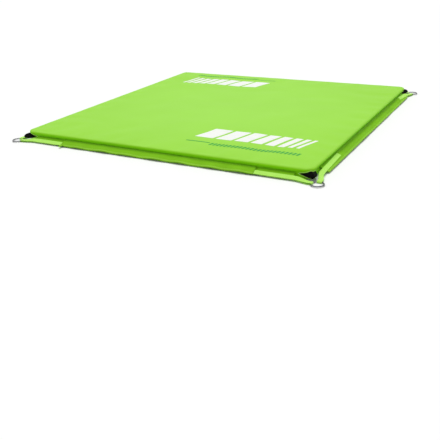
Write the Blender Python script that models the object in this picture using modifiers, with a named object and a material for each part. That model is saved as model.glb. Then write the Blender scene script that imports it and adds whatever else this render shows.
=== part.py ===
"""Swim float mat: a square foam slab in a sewn cover, with a ring on webbing at each corner.

Run with blender --background --python part.py, or from Blender's text editor.
Units are metres and +Z is up. The mat lies flat: z = 0 is the plane that its underside rests on,
and the origin is under its middle. The front side faces -Y, the right side faces +X.
Each side is modelled facing the front and then turned about Z to where it belongs.
"""

import math

import bmesh
import bpy
from mathutils import Vector

COLLECTION = "swim_float_mat"
CUTTER_COLLECTION = "cutters"

# The padded square
pad_side = 1.446
pad_height = 0.050
crown_drop = 0.0045
crown_reach = 0.150
corner_radius = 0.036
top_edge_radius = 0.008
bottom_edge_radius = 0.008
seam_height = 0.024
seam_inset = 0.009
foot_inset = 0.005
cover_thickness = 0.0010
gap = 0.0003

# The skirt of doubled cover fabric that is sewn into the seam and hangs outward
skirt_width = 0.044
skirt_drop = 0.018
skirt_thickness = 0.0014
skirt_clear_of_vent = 0.017
near_skirt_clear_of_vent = 0.045
lip_end_setback = 0.002
lip_climb = 0.024
binding_width = 0.008
binding_thickness = 0.0007

# The closure along the front, where the foam goes in
flap_clear_of_corner = 0.233
flap_thickness = 0.0010
tape_width = 0.016
tape_thickness = 0.0010
tape_setback = 0.012
lip_binding_setback = 0.016
wave_height = 0.0034
wave_lift = 0.0008
wave_length = 0.137
wave_start = 0.013
slow_wave_length = 0.315
slow_wave_share = 0.45
wave_growth_share = 1.3
wave_fade_length = 0.060
tab_width = 0.012
tab_reach = 0.014
tab_thickness = 0.0008
tab_setback = 0.008
tab_shares = (0.8, 1.0, 0.8, 0.1)

# The webbing straps and the rings that they hold
webbing_width = 0.020
webbing_thickness = 0.0012
side_strap_length = 0.170
near_strap_length = 0.284
strap_gap = 0.0015
lower_leg_setback = 0.026
twist_setback = 0.005
front_strap_setback = 0.0020
side_strap_setback = 0.0125
side_strap_slant = 0.0040
ring_bore = 0.045
ring_wire = 0.005
ring_clear_of_pad = 0.032
ring_height = 0.0047

# The opening in each corner of the cover, and the pouch of open mesh that bags out of it
vent_reach = 0.049
vent_bottom = 0.006
vent_middle = 0.020
vent_top = 0.034
cutter_length = 0.110
pouch_reach = 0.038
pouch_roundness_share = 0.62
hem_width = 0.0035
hem_thickness = 0.0006
patch_margin = 0.012

# How finely curved shapes are divided
corner_steps = 5
edge_steps = 4
crown_shares = (0.0, 0.30, 0.62)
front_stations = 57
side_stations = 4
twist_steps = 8
nose_steps = 6
ring_steps = 28
wire_steps = 8
pouch_steps = 4

pad_half = pad_side / 2
seam_half = pad_half - seam_inset
flap_length = pad_side - 2 * flap_clear_of_corner
upper_lean = seam_inset / (pad_height - crown_drop - top_edge_radius - seam_height)
lower_lean = (seam_inset - foot_inset) / (seam_height - bottom_edge_radius)
skirt_slope = math.asin(skirt_drop / skirt_width)
ring_radius = (ring_bore + ring_wire) / 2
ring_reach = pad_half + ring_clear_of_pad
hem_reach = vent_reach + hem_width * math.sqrt(2)
skirt_clear_of_corner = hem_reach + skirt_clear_of_vent
near_skirt_clear_of_corner = hem_reach + near_skirt_clear_of_vent
leg_rise = skirt_thickness / 2 + gap + webbing_thickness / 2
eye_radius = ring_wire / 2 + gap + webbing_thickness / 2

SIDES = ("front", "right", "back", "left")
CORNERS = {
    "front_right": ("front", "right"),
    "back_right": ("right", "back"),
    "back_left": ("back", "left"),
    "front_left": ("left", "front"),
}

COLOURS = {
    "cover": ((0.38, 0.76, 0.09), 0.62, 0.0),
    "underside": ((0.30, 0.62, 0.07), 0.66, 0.0),
    "skirt": ((0.21, 0.48, 0.03), 0.68, 0.0),
    "binding": ((0.52, 0.90, 0.16), 0.60, 0.0),
    "webbing": ((0.50, 0.92, 0.15), 0.58, 0.0),
    "mesh": ((0.012, 0.012, 0.012), 0.70, 0.0),
    "tape": ((0.06, 0.09, 0.03), 0.85, 0.0),
    "foam": ((0.70, 0.72, 0.70), 0.80, 0.0),
    "steel": ((0.62, 0.63, 0.64), 0.25, 1.0),
}


def clear_scene():
    """Remove every object, so that the script gives the same result each time."""
    for item in list(bpy.data.objects):
        bpy.data.objects.remove(item, do_unlink=True)
    for name in (COLLECTION, CUTTER_COLLECTION):
        old = bpy.data.collections.get(name)
        if old:
            bpy.data.collections.remove(old)
        bpy.context.scene.collection.children.link(bpy.data.collections.new(name))


def material(name):
    """The plain finish of one kind of piece."""
    found = bpy.data.materials.get(name)
    if found:
        return found
    colour, roughness, metallic = COLOURS[name]
    made = bpy.data.materials.new(name)
    made.use_nodes = True
    shader = made.node_tree.nodes["Principled BSDF"]
    shader.inputs["Base Color"].default_value = (*colour, 1.0)
    shader.inputs["Roughness"].default_value = roughness
    shader.inputs["Metallic"].default_value = metallic
    made.diffuse_color = (*colour, 1.0)
    return made


def quarter_turn(side):
    """How far a side is turned about Z from the front one."""
    return SIDES.index(side) * math.pi / 2


def add_object(name, mesh, finish, side="front"):
    """Put a mesh in the mat's collection, turned to the side that it belongs to."""
    part = bpy.data.objects.new(name, mesh)
    part.data.materials.append(material(finish))
    part.rotation_euler.z = quarter_turn(side)
    bpy.data.collections[COLLECTION].objects.link(part)
    return part


def loft(name, rows, closed_rows=False, capped=False):
    """A mesh through rows of points. Each row has as many points as the one before it."""
    form = bmesh.new()
    grid = [[form.verts.new(point) for point in row] for row in rows]
    count = len(rows[0])
    across = count if closed_rows else count - 1
    for here, after in zip(grid, grid[1:]):
        for j in range(across):
            k = (j + 1) % count
            form.faces.new((here[j], here[k], after[k], after[j]))
    if capped:
        form.faces.new(list(reversed(grid[0])))
        form.faces.new(grid[-1])
    bmesh.ops.recalc_face_normals(form, faces=form.faces)
    mesh = bpy.data.meshes.new(name)
    form.to_mesh(mesh)
    form.free()
    mesh.shade_smooth()
    mesh.set_sharp_from_angle(angle=math.radians(35))
    return mesh


def thicken(part, thickness, offset=0.0):
    """Give a sheet its thickness. An offset of -1 lays it all on the inner side."""
    solid = part.modifiers.new("thickness", "SOLIDIFY")
    solid.thickness = thickness
    solid.offset = offset
    solid.use_even_offset = True
    return part


def spaced(low, high, count):
    """Evenly spaced values, with both ends."""
    return [low + (high - low) * step / (count - 1) for step in range(count)]


def smooth_share(value, low, high):
    """0 below low and 1 above high, with an even turn between them."""
    share = min(1.0, max(0.0, (value - low) / (high - low)))
    return share * share * (3 - 2 * share)


def pad_outline(inset, height):
    """One level of the padded square: four straight sides joined by round corners."""
    radius = max(corner_radius - inset, corner_radius / 2)
    centre = pad_half - inset - radius
    points = []
    for corner in range(4):
        for step in range(corner_steps + 1):
            turn = math.pi / 2 * (corner + step / corner_steps - 1)
            middle_turn = math.pi / 2 * (corner - 0.5)
            x = centre * math.copysign(1, math.cos(middle_turn)) + radius * math.cos(turn)
            y = centre * math.copysign(1, math.sin(middle_turn)) + radius * math.sin(turn)
            points.append((x, y, height))
    return points


def upper_profile():
    """Inset and height of the pad's outside, from the flat middle down to the seam."""
    rim_height = pad_height - crown_drop
    points = []
    for share in crown_shares:
        inset = crown_reach + (top_edge_radius - crown_reach) * share
        points.append((inset, pad_height - crown_drop * share * share))
    for step in range(edge_steps + 1):
        turn = math.pi / 2 * step / edge_steps
        inset = top_edge_radius * (1 - math.sin(turn))
        points.append((inset, rim_height - top_edge_radius * (1 - math.cos(turn))))
    points.append((seam_inset, seam_height))
    return points


def lower_profile():
    """Inset and height of the pad's outside, from the seam down to the flat underside."""
    points = [(seam_inset, seam_height)]
    for step in range(edge_steps):
        turn = math.pi / 2 * step / (edge_steps - 1)
        inset = foot_inset + bottom_edge_radius * (1 - math.cos(turn))
        points.append((inset, bottom_edge_radius * (1 - math.sin(turn))))
    return points


def wall_inset(height):
    """How far in the pad's side lies at a height between its two rounded edges."""
    if height >= seam_height:
        return max(0.0, seam_inset - (height - seam_height) * upper_lean)
    return max(foot_inset, seam_inset - (seam_height - height) * lower_lean)


def make_foam_core():
    """The slab of closed-cell foam, a little smaller all round than the cover's inside."""
    profile = upper_profile() + lower_profile()[1:]
    mesh = loft("foam_core", [pad_outline(*level) for level in profile], closed_rows=True, capped=True)
    form = bmesh.new()
    form.from_mesh(mesh)
    form.normal_update()
    depth = cover_thickness + gap
    moves = [(vert, vert.normal * depth * vert.calc_shell_factor()) for vert in form.verts]
    for vert, move in moves:
        vert.co -= move
    form.to_mesh(mesh)
    form.free()
    return add_object("foam_core", mesh, "foam")


def capped_sheet(name, levels):
    """An open dish through levels of the pad, with its flat middle closed by one face."""
    form = bmesh.new()
    form.from_mesh(loft(name, [pad_outline(*level) for level in levels], closed_rows=True))
    edge = [edge for edge in form.edges if edge.is_boundary]
    middle_height = levels[0][1]
    middle = [e for e in edge if all(abs(v.co.z - middle_height) < gap / 2 for v in e.verts)]
    bmesh.ops.contextual_create(form, geom=middle)
    bmesh.ops.recalc_face_normals(form, faces=form.faces)
    out = Vector((0, 0, 1 if middle_height > seam_height else -1))
    middle_face = max(form.faces, key=lambda face: face.calc_area())
    if middle_face.normal.dot(out) < 0:
        bmesh.ops.reverse_faces(form, faces=form.faces)
    mesh = bpy.data.meshes.new(name)
    form.to_mesh(mesh)
    form.free()
    mesh.shade_smooth()
    mesh.set_sharp_from_angle(angle=math.radians(35))
    return mesh


def make_covers(openings):
    """The crowned top cover and the flat bottom cover, which meet at the seam."""
    upper = upper_profile()
    upper[-1] = (wall_inset(seam_height + gap / 2), seam_height + gap / 2)
    lower = lower_profile()
    lower[0] = (wall_inset(seam_height - gap / 2), seam_height - gap / 2)
    top = add_object("top_cover", capped_sheet("top_cover", upper), "cover")
    bottom = add_object("bottom_cover", capped_sheet("bottom_cover", lower[::-1]), "underside")
    for cover in (top, bottom):
        thicken(cover, cover_thickness, offset=-1)
        for opening in openings:
            cut = cover.modifiers.new("corner_opening", "BOOLEAN")
            cut.object = opening
            cut.operation = "DIFFERENCE"


def vent_share(across, height):
    """0 at the middle of a corner's kite-shaped opening and 1 at its edge."""
    run = vent_top - vent_middle if height > vent_middle else vent_middle - vent_bottom
    return abs(across) * math.sqrt(2) / vent_reach + abs(height - vent_middle) / run


def vent_prism(name, corner, grow):
    """A kite-shaped cutter that runs in along the corner's diagonal."""
    first, second = CORNERS[corner]
    half_width = vent_reach / math.sqrt(2) + grow
    bpy.ops.mesh.primitive_cylinder_add(vertices=4, radius=1, depth=1, end_fill_type="NGON")
    prism = bpy.context.object
    prism.name = name
    form = bmesh.new()
    form.from_mesh(prism.data)
    for vert in form.verts:
        across, up, along = vert.co
        run = vent_top - vent_middle if up > 0 else vent_middle - vent_bottom
        vert.co = Vector((along * cutter_length, -across * half_width, up * (run + grow)))
    bmesh.ops.recalc_face_normals(form, faces=form.faces)
    form.to_mesh(prism.data)
    form.free()
    turn = quarter_turn(first) - math.pi / 4
    apex = (pad_half - corner_radius) * math.sqrt(2) + corner_radius
    prism.location = (apex * math.cos(turn), apex * math.sin(turn), vent_middle)
    prism.rotation_euler.z = turn
    prism.hide_render = True
    prism.display_type = "WIRE"
    for group in list(prism.users_collection):
        group.objects.unlink(prism)
    bpy.data.collections[CUTTER_COLLECTION].objects.link(prism)
    return prism


def divided(points, steps):
    """A run of points with each stretch between two of them cut into equal steps."""
    run = [points[0]]
    for (a, b), (c, d) in zip(points, points[1:]):
        run += [(a + (c - a) * k / steps, b + (d - b) * k / steps) for k in range(1, steps + 1)]
    return run


def corner_patch(name, out, bulge=0.0):
    """The pad's side around its front right corner, moved out evenly and bagged out at the opening."""
    upper = [level for level in upper_profile() if level[0] < top_edge_radius + gap]
    walls = divided([upper[-2]] + [upper[-1]] + [lower_profile()[1]], pouch_steps)
    levels = upper[:-2] + walls + lower_profile()[2:]
    patch_reach = hem_reach + patch_margin
    start = pad_half - patch_reach
    rows = []
    for inset, height in levels:
        radius = max(corner_radius - inset, corner_radius / 2)
        centre = pad_half - inset - radius
        run = spaced(start, centre, pouch_steps + 1)[:-1]
        row = [Vector((x, -pad_half + inset, height)) for x in run]
        for step in range(corner_steps + 1):
            turn = math.pi / 2 * (step / corner_steps - 1)
            row.append(Vector((centre + radius * math.cos(turn), -centre + radius * math.sin(turn), height)))
        row += [Vector((pad_half - inset, -x, height)) for x in reversed(run)]
        for point in row:
            share = vent_share((point.x + point.y) / math.sqrt(2), height)
            swell = bulge * max(0.0, 1 - share * share) ** pouch_roundness_share
            point += Vector((swell, -swell, 0)) / math.sqrt(2)
        rows.append(row)
    mesh = loft(name, rows)
    form = bmesh.new()
    form.from_mesh(mesh)
    form.normal_update()
    outward = Vector((1, -1, 0))
    if sum(face.normal.dot(outward) * face.calc_area() for face in form.faces) < 0:
        bmesh.ops.reverse_faces(form, faces=form.faces)
        form.normal_update()
    moves = [(vert, vert.normal * out * vert.calc_shell_factor()) for vert in form.verts]
    for vert, move in moves:
        vert.co += move
    form.to_mesh(mesh)
    form.free()
    return mesh


def make_corner(corner, opening):
    """The pouch of open mesh in a corner, and the bound hem around its opening."""
    first, second = CORNERS[corner]
    vent = add_object(f"drain_mesh_{corner}", corner_patch("drain_mesh", 0.0, pouch_reach), "mesh", first)
    thicken(vent, cover_thickness, offset=-1)
    fit = vent.modifiers.new("fit_opening", "BOOLEAN")
    fit.operation = "INTERSECT"
    fit.object = vent_prism(f"panel_cutter_{corner}", corner, -gap)

    out = gap + hem_thickness
    hem = add_object(f"drain_hem_{corner}", corner_patch("drain_hem", out), "binding", first)
    thicken(hem, hem_thickness, offset=-1)
    edge = hem.modifiers.new("outer_edge", "BOOLEAN")
    edge.operation = "INTERSECT"
    edge.object = vent_prism(f"hem_cutter_{corner}", corner, hem_width)
    hole = hem.modifiers.new("opening", "BOOLEAN")
    hole.operation = "DIFFERENCE"
    hole.object = opening


def wave(along, down):
    """How far the closure's folds lift its fabric: nothing at the seam, most at the free edge."""
    fade = smooth_share(flap_length / 2 - abs(along), gap, wave_fade_length)
    share = max(0.0, down / skirt_width) ** wave_growth_share
    main = math.sin(math.tau * (along + wave_start) / wave_length)
    slow = slow_wave_share * math.sin(math.tau * along / slow_wave_length)
    return fade * share * (wave_lift + wave_height * (main + slow) / (1 + slow_wave_share))


def flat(along, down):
    """The plain sides hang without folds."""
    return 0.0


def skirt_point(along, down, rise, lift=0.0):
    """A point of the front skirt: so far along it, down its slope, and above its middle layer."""
    out = seam_half + down * math.cos(skirt_slope) + (rise + lift) * math.sin(skirt_slope)
    height = seam_height - down * math.sin(skirt_slope) + (rise + lift) * math.cos(skirt_slope)
    return Vector((along, -out, height))


def clear_of_wall(rise, thickness):
    """How far down the slope a layer has to start so that its edge stays clear of the pad's side."""
    top = rise + thickness / 2
    low = rise - thickness / 2
    sin, cos = math.sin(skirt_slope), math.cos(skirt_slope)
    above = gap * math.hypot(1, upper_lean) + top * (upper_lean * cos - sin)
    below = gap * math.hypot(1, lower_lean) - low * (lower_lean * cos + sin)
    return max(above / (cos + upper_lean * sin), below / (cos - lower_lean * sin))


def layer_downs(root, edge):
    """Where a layer is divided across: its root, its middle, and both edges of its binding."""
    inner = edge - binding_width
    return [root, (root + inner) / 2, inner, edge]


def strip(stations, downs, rise, lift):
    """Rows of points for a layer of the skirt, one row across it at each station."""
    return [[skirt_point(a, d, rise, lift(a, d)) for d in downs] for a in stations]


def binding_rows(stations, edge, layer_thickness, rise, lift):
    """Rows of points for a tape folded around the free edge of a layer."""
    half = layer_thickness / 2 + gap + binding_thickness / 2
    nose = edge + gap + binding_thickness / 2
    back = edge - binding_width
    rows = []
    for a in stations:
        row = []
        for down, off in ((back, half), (nose, half), (nose, -half), (back, -half)):
            row.append(skirt_point(a, down, rise + off, lift(a, min(down, edge))))
        rows.append(row)
    return rows


def skirt_span(side):
    """Where a side's skirt starts and ends along it."""
    reach = pad_half - skirt_clear_of_corner
    if side == "right":
        return -(pad_half - near_skirt_clear_of_corner), reach
    if side == "left":
        return -reach, pad_half - near_skirt_clear_of_corner
    return -reach, reach


def make_side_skirt(side):
    """The skirt of one plain side, with its edge binding."""
    start, end = skirt_span(side)
    stations = spaced(start, end, side_stations)
    root = clear_of_wall(0.0, skirt_thickness)
    downs = [root, skirt_width / 2, skirt_width]
    cloth = add_object(f"skirt_{side}", loft("skirt", strip(stations, downs, 0.0, flat)), "skirt", side)
    thicken(cloth, skirt_thickness)
    rows = binding_rows(stations, skirt_width, skirt_thickness, 0.0, flat)
    tape = add_object(f"skirt_binding_{side}", loft("skirt_binding", rows), "binding", side)
    thicken(tape, binding_thickness)


layer_gap = tape_thickness + gap + (gap + flap_thickness) / 2
hinge_down = clear_of_wall(layer_gap, flap_thickness) + flap_thickness / 2


def lip_rise(along):
    """The lip lies low under the flap and comes up to the skirt's middle layer beside it."""
    return -layer_gap * smooth_share(flap_length / 2 + lip_climb - abs(along), 0.0, lip_climb)


def lip_width(along):
    """The lip is full width under the flap and a little narrower under the straps."""
    beside = smooth_share(abs(along) - flap_length / 2, -lip_binding_setback, 0.0)
    return skirt_width - lip_end_setback * beside


def make_closure():
    """The fixed lip and the flap over it, each with a fastening tape and a bound edge."""
    half = flap_length / 2
    lip_end = pad_half - skirt_clear_of_corner
    outer = spaced(half, half + lip_climb, side_stations) + [lip_end]
    inner = spaced(-half, half, front_stations)
    stations = [-a for a in reversed(outer[1:])] + inner + outer[1:]
    rows = []
    for a in stations:
        root = clear_of_wall(lip_rise(a), flap_thickness)
        downs = layer_downs(root, lip_width(a))
        rows.append([skirt_point(a, d, lip_rise(a), wave(a, d)) for d in downs])
    lip = add_object("closure_lip", loft("closure_lip", rows), "skirt")
    thicken(lip, flap_thickness)

    downs = layer_downs(hinge_down, skirt_width)
    flap = add_object("closure_flap", loft("closure_flap", strip(inner, downs, layer_gap, wave)), "skirt")
    thicken(flap, flap_thickness)
    rows = binding_rows(inner, skirt_width, flap_thickness, layer_gap, wave)
    thicken(add_object("flap_binding", loft("flap_binding", rows), "binding"), binding_thickness)

    bound = [a for a in inner if abs(a) < half - lip_binding_setback - wave_fade_length / 2]
    rows = binding_rows(bound, skirt_width, flap_thickness, -layer_gap, wave)
    thicken(add_object("lip_binding", loft("lip_binding", rows), "binding"), binding_thickness)

    taped = [a for a in inner if abs(a) < half - tape_setback - wave_fade_length / 2]
    start = (hinge_down + skirt_width - binding_width - tape_width) / 2
    downs = [start, start + tape_width]
    tape_rise = (tape_thickness + gap) / 2
    for name, rise in (("loop_tape", tape_rise), ("hook_tape", -tape_rise)):
        tape = add_object(name, loft(name, strip(taped, downs, rise, wave)), "tape")
        thicken(tape, tape_thickness)
    make_pull_tab(-half + tab_setback)


def make_pull_tab(middle):
    """A short loop of tape at the flap's left end, to pull it open by."""
    rise = layer_gap + flap_thickness / 2 + gap + binding_thickness + gap + tab_thickness / 2
    edge = skirt_width + 2 * gap + binding_thickness
    loop_half = tab_thickness / 2 + gap
    level = math.tan(skirt_slope)
    path = [(skirt_width - binding_width, rise), (edge, rise)]
    for share, side in zip(tab_shares, (1, 0, -1, -1)):
        reach = tab_reach * share
        path.append((edge + reach, layer_gap + reach * level + side * loop_half))
    rows = [[skirt_point(middle + side, down, off) for side in (-tab_width / 2, tab_width / 2)] for down, off in path]
    tab = add_object("pull_tab", loft("pull_tab", rows), "binding")
    thicken(tab, tab_thickness)


twist_start = pad_half - skirt_clear_of_corner + twist_setback
twist_end = ring_reach - ring_radius - ring_wire / 2 - gap


def strap_lane(side, start):
    """How far down the skirt's slope a strap's middle lies, at each place along it.

    The front's straps follow the skirt's edge. The others slant outward from their sewn end.
    """
    half = webbing_width / 2
    if side == "front":
        return lambda along: skirt_width - front_strap_setback - half

    def down(along):
        share = min(1.0, (along - start) / (twist_start - start))
        return skirt_width - side_strap_setback - half + side_strap_slant * (2 * share - 1)

    return down


def strap_centre(along, leg, lane):
    """Middle of the strap at a place along it, on its upper or lower leg."""
    share = smooth_share(along, twist_start, twist_end)
    on_skirt = skirt_point(along, lane(along), leg * leg_rise)
    at_ring = Vector((along, -ring_reach, ring_height + leg * eye_radius))
    return on_skirt.lerp(at_ring, share)


def strap_row(along, leg, lane):
    """The strap's two edges at a place along it. It lies square to its own course."""
    share = smooth_share(along, twist_start, twist_end)
    centre = strap_centre(along, leg, lane)
    course = strap_centre(along + gap, leg, lane) - strap_centre(along - gap, leg, lane)
    course.normalize()
    slope = skirt_slope * (1 - share)
    width = Vector((0, -math.cos(slope), -math.sin(slope)))
    width = (width - course * width.dot(course)).normalized() * webbing_width / 2
    return [centre - width, centre + width]


def strap_rows(start, lane):
    """Rows of points for a strap along the front side that ends around the right-hand ring."""
    half = webbing_width / 2
    bore_radius = ring_bore / 2
    nose = ring_reach - math.sqrt(bore_radius ** 2 - half ** 2) - ring_wire / 2 + gap
    twist = spaced(twist_start, twist_end, twist_steps)
    upper = [start] + twist
    lower = twist[::-1] + [start + lower_leg_setback]
    rows = []
    for a in upper:
        rows.append(strap_row(a, 1, lane))
    for step in range(nose_steps + 1):
        turn = math.pi / 2 - math.pi * step / nose_steps
        centre = Vector((
            nose + eye_radius * math.cos(turn),
            -ring_reach,
            ring_height + eye_radius * math.sin(turn),
        ))
        width = Vector((0, -half, 0))
        rows.append([centre - width, centre + width])
    for a in lower:
        rows.append(strap_row(a, -1, lane))
    return rows


def make_straps(corner):
    """The two straps that hold one corner's ring, one along each side."""
    first, second = CORNERS[corner]
    near = "front" in (first, second)
    for side, mirrored in ((first, False), (second, True)):
        if side == "front":
            start = flap_length / 2 + strap_gap
        else:
            start = pad_half - (near_strap_length if near else side_strap_length)
        rows = strap_rows(start, strap_lane(side, start))
        if mirrored:
            rows = [[Vector((-p.x, p.y, p.z)) for p in row] for row in rows]
        strap = add_object(f"strap_{corner}_{side}", loft("strap", rows), "webbing", side)
        thicken(strap, webbing_thickness)


def make_ring(corner):
    """A round ring of steel wire that lies flat, with its origin on the line it swings about."""
    first, second = CORNERS[corner]
    turn = quarter_turn(first) - math.pi / 4
    hinge_reach = ring_reach * math.sqrt(2) - ring_radius / math.sqrt(2)
    pivot = bpy.data.objects.new(f"pivot_{corner}", None)
    pivot.location = (hinge_reach * math.cos(turn), hinge_reach * math.sin(turn), ring_height)
    pivot.rotation_euler.z = turn
    bpy.data.collections[COLLECTION].objects.link(pivot)
    bpy.ops.mesh.primitive_torus_add(
        major_segments=ring_steps,
        minor_segments=wire_steps,
        major_radius=ring_radius,
        minor_radius=ring_wire / 2,
    )
    ring = bpy.context.object
    ring.name = f"ring_{corner}"
    ring.data.materials.append(material("steel"))
    ring.data.shade_smooth()
    ring.parent = pivot
    ring.location = (ring_radius / math.sqrt(2), 0, 0)
    for group in list(ring.users_collection):
        group.objects.unlink(ring)
    bpy.data.collections[COLLECTION].objects.link(ring)


def main():
    clear_scene()
    make_foam_core()
    openings = {corner: vent_prism(f"opening_cutter_{corner}", corner, 0.0) for corner in CORNERS}
    make_covers(openings.values())
    for side in ("right", "back", "left"):
        make_side_skirt(side)
    make_closure()
    for corner in CORNERS:
        make_corner(corner, openings[corner])
        make_straps(corner)
        make_ring(corner)
    bpy.context.view_layer.update()


main()
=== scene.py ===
"""Looks of a square swim float mat: padded cover, skirt, closure, webbing, rings and print.

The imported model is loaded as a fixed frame, and every soft piece is built again around it in finer
form. Units are metres, +Z is up, and the side with the closure flap faces -Y. Each side is laid out
facing the front and then turned about Z to where it belongs.
"""

import math

import bmesh
import bpy
import numpy as np
from mathutils import Matrix, Vector, noise
from mathutils.bvhtree import BVHTree


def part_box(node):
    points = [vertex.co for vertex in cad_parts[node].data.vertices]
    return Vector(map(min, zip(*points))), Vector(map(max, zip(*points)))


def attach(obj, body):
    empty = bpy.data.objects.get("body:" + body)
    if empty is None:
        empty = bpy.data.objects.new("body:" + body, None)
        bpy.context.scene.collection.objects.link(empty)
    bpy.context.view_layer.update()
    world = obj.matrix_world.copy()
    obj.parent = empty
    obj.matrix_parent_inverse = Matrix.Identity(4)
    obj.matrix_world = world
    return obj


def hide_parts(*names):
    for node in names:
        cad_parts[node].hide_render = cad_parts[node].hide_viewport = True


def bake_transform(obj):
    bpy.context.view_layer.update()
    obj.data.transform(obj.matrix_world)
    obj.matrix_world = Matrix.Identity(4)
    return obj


bl_info = {
    "name": "Swim float mat",
    "version": (1, 0, 0),
    "blender": (4, 5, 0),
    "location": "View3D > Sidebar > Float mat",
    "description": "Builds the cover, skirt, closure, webbing, rings and print of a swim float mat",
    "category": "Object",
}

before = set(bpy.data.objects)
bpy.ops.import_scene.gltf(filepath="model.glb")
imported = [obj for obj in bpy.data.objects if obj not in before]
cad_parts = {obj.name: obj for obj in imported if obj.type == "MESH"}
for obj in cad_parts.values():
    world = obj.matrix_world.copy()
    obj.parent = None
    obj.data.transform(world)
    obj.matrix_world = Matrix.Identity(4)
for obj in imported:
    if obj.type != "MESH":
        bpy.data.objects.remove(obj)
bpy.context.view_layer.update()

SIDES = ("front", "right", "back", "left")
PLAIN_SIDES = SIDES[1:]
CORNERS = {
    "front_right": ("front", "right"),
    "back_right": ("right", "back"),
    "back_left": ("back", "left"),
    "front_left": ("left", "front"),
}

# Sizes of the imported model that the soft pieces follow: the pad
PAD_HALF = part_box("top_cover")[1].x
PAD_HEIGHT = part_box("top_cover")[1].z
CROWN_DROP = 0.0045
CROWN_REACH = 0.150
CORNER_RADIUS = 0.036
EDGE_RADIUS = 0.008
RIM_HEIGHT = PAD_HEIGHT - CROWN_DROP
CREASE_HEIGHT = RIM_HEIGHT - EDGE_RADIUS
SEAM_HEIGHT = 0.024
SEAM_INSET = 0.009
FOOT_INSET = 0.005
GAP = 0.0003

# The skirt, its binding and the closure
SKIRT_WIDTH = 0.044
SKIRT_DROP = 0.018
SKIRT_SLOPE = math.asin(SKIRT_DROP / SKIRT_WIDTH)
SKIRT_UP = Vector((0.0, -math.sin(SKIRT_SLOPE), math.cos(SKIRT_SLOPE)))
SKIRT_THICKNESS = 0.0014
SKIRT_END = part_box("skirt_back")[1].x
NEAR_SKIRT_END = -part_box("skirt_right")[0].y
ROOT_DOWN = 0.0007
BINDING_WIDTH = 0.008
BINDING_THICKNESS = 0.0007
FLAP_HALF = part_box("closure_flap")[1].x
FLAP_THICKNESS = 0.0010
FLAP_ROOT_DOWN = 0.0013
LIP_SETBACK = 0.002
LIP_ROOT_SETBACK = 0.0022
LIP_CLIMB = 0.024
LIP_BINDING_SETBACK = 0.016
TAPE_WIDTH = 0.016
TAPE_THICKNESS = 0.0010
TAPE_SETBACK = 0.012
LAYER_GAP = TAPE_THICKNESS + GAP + (GAP + FLAP_THICKNESS) / 2
TAB_PLACE = 0.008
TAB_WIDTH = 0.012
TAB_THICKNESS = 0.0008

# The rings and the webbing straps
RING_BORE = 0.045
RING_WIRE = 0.005
RING_RADIUS = (RING_BORE + RING_WIRE) / 2
RING_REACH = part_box("ring_front_right")[1].x - RING_RADIUS - RING_WIRE / 2
RING_OUT = RING_REACH * math.sqrt(2)
RING_HEIGHT = 0.0047
WEBBING_WIDTH = 0.020
WEBBING_THICKNESS = 0.0012
LEG_RISE = SKIRT_THICKNESS / 2 + GAP + WEBBING_THICKNESS / 2
EYE_RADIUS = RING_WIRE / 2 + GAP + WEBBING_THICKNESS / 2
FLAP_CLEARANCE = 0.0015
FRONT_STRAP_SETBACK = 0.0020
SIDE_STRAP_SETBACK = 0.0125
SIDE_STRAP_SLANT = 0.0040
SIDE_STRAP_LENGTH = 0.170
NEAR_STRAP_LENGTH = 0.284
LOWER_LEG_SETBACK = 0.026
TWIST_START = SKIRT_END + 0.005
TWIST_END = RING_REACH - RING_RADIUS - RING_WIRE / 2 - GAP

# The corner openings and their pouches
VENT_REACH = 0.049
VENT_BOTTOM = 0.006
VENT_MIDDLE = 0.020
VENT_TOP = 0.034
POUCH_REACH = 0.038

# The mesh attribute that says where each point lies in its fabric, and how far one band of
# Blender's wave texture runs at a scale of 1
THREADS = "threads"
WAVE_RUN = math.tau / 20

# What brings Blender's noise up to about its full range of -1 to 1
NOISE_GAIN = 1.6


def length_value(name, description, default):
    """A length for the panel."""
    return bpy.props.FloatProperty(
        name=name, description=description, default=default, unit="LENGTH"
    )


def colour_value(name, description, default):
    """A colour for the panel."""
    return bpy.props.FloatVectorProperty(
        name=name, description=description, default=default, subtype="COLOR"
    )


class FloatMatSizes(bpy.types.PropertyGroup):
    """Sizes of the details that a user may want to change."""

    deck_undulation: length_value(
        "Deck undulation", "How far the broad soft waves of the deck rise and fall", 0.0009
    )
    edge_pucker: length_value(
        "Edge pucker", "Depth of the small gathers that the seams pull into the deck's edge", 0.0005
    )
    wall_swell: length_value(
        "Wall swell", "How far the pad's side swells in and out between its seams", 0.0009
    )
    fabric_slack: bpy.props.FloatProperty(
        name="Fabric slack",
        description="Share by which the deck's fabric is cut too long near its rim and corners",
        default=0.004,
        min=0.0,
    )
    foam_hold: bpy.props.FloatProperty(
        name="Foam hold",
        description="How firmly the foam holds the fabric flat while it settles",
        default=0.10,
        min=0.0,
        max=1.0,
        subtype="FACTOR",
    )
    wrinkle_cap: length_value("Wrinkle cap", "The most that a wrinkle may rise or sink", 0.0016)
    skirt_ripple: length_value(
        "Skirt ripple",
        "How far the plain sides' skirts wave up and down at their free edge",
        0.0025,
    )
    skirt_sag: length_value(
        "Skirt sag", "How far the plain sides' skirts hang below a line from seam to edge", 0.0056
    )
    weave_pitch: length_value(
        "Weave pitch", "Distance from one thread of the cover fabric to the next", 0.0011
    )
    stitch_length: length_value("Stitch length", "Length of one stitch that shows", 0.0036)
    stitch_pitch: length_value(
        "Stitch pitch", "Distance from the start of one stitch to the next", 0.0050
    )
    thread_radius: length_value("Thread radius", "Half the thickness of the sewing thread", 0.0004)


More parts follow.
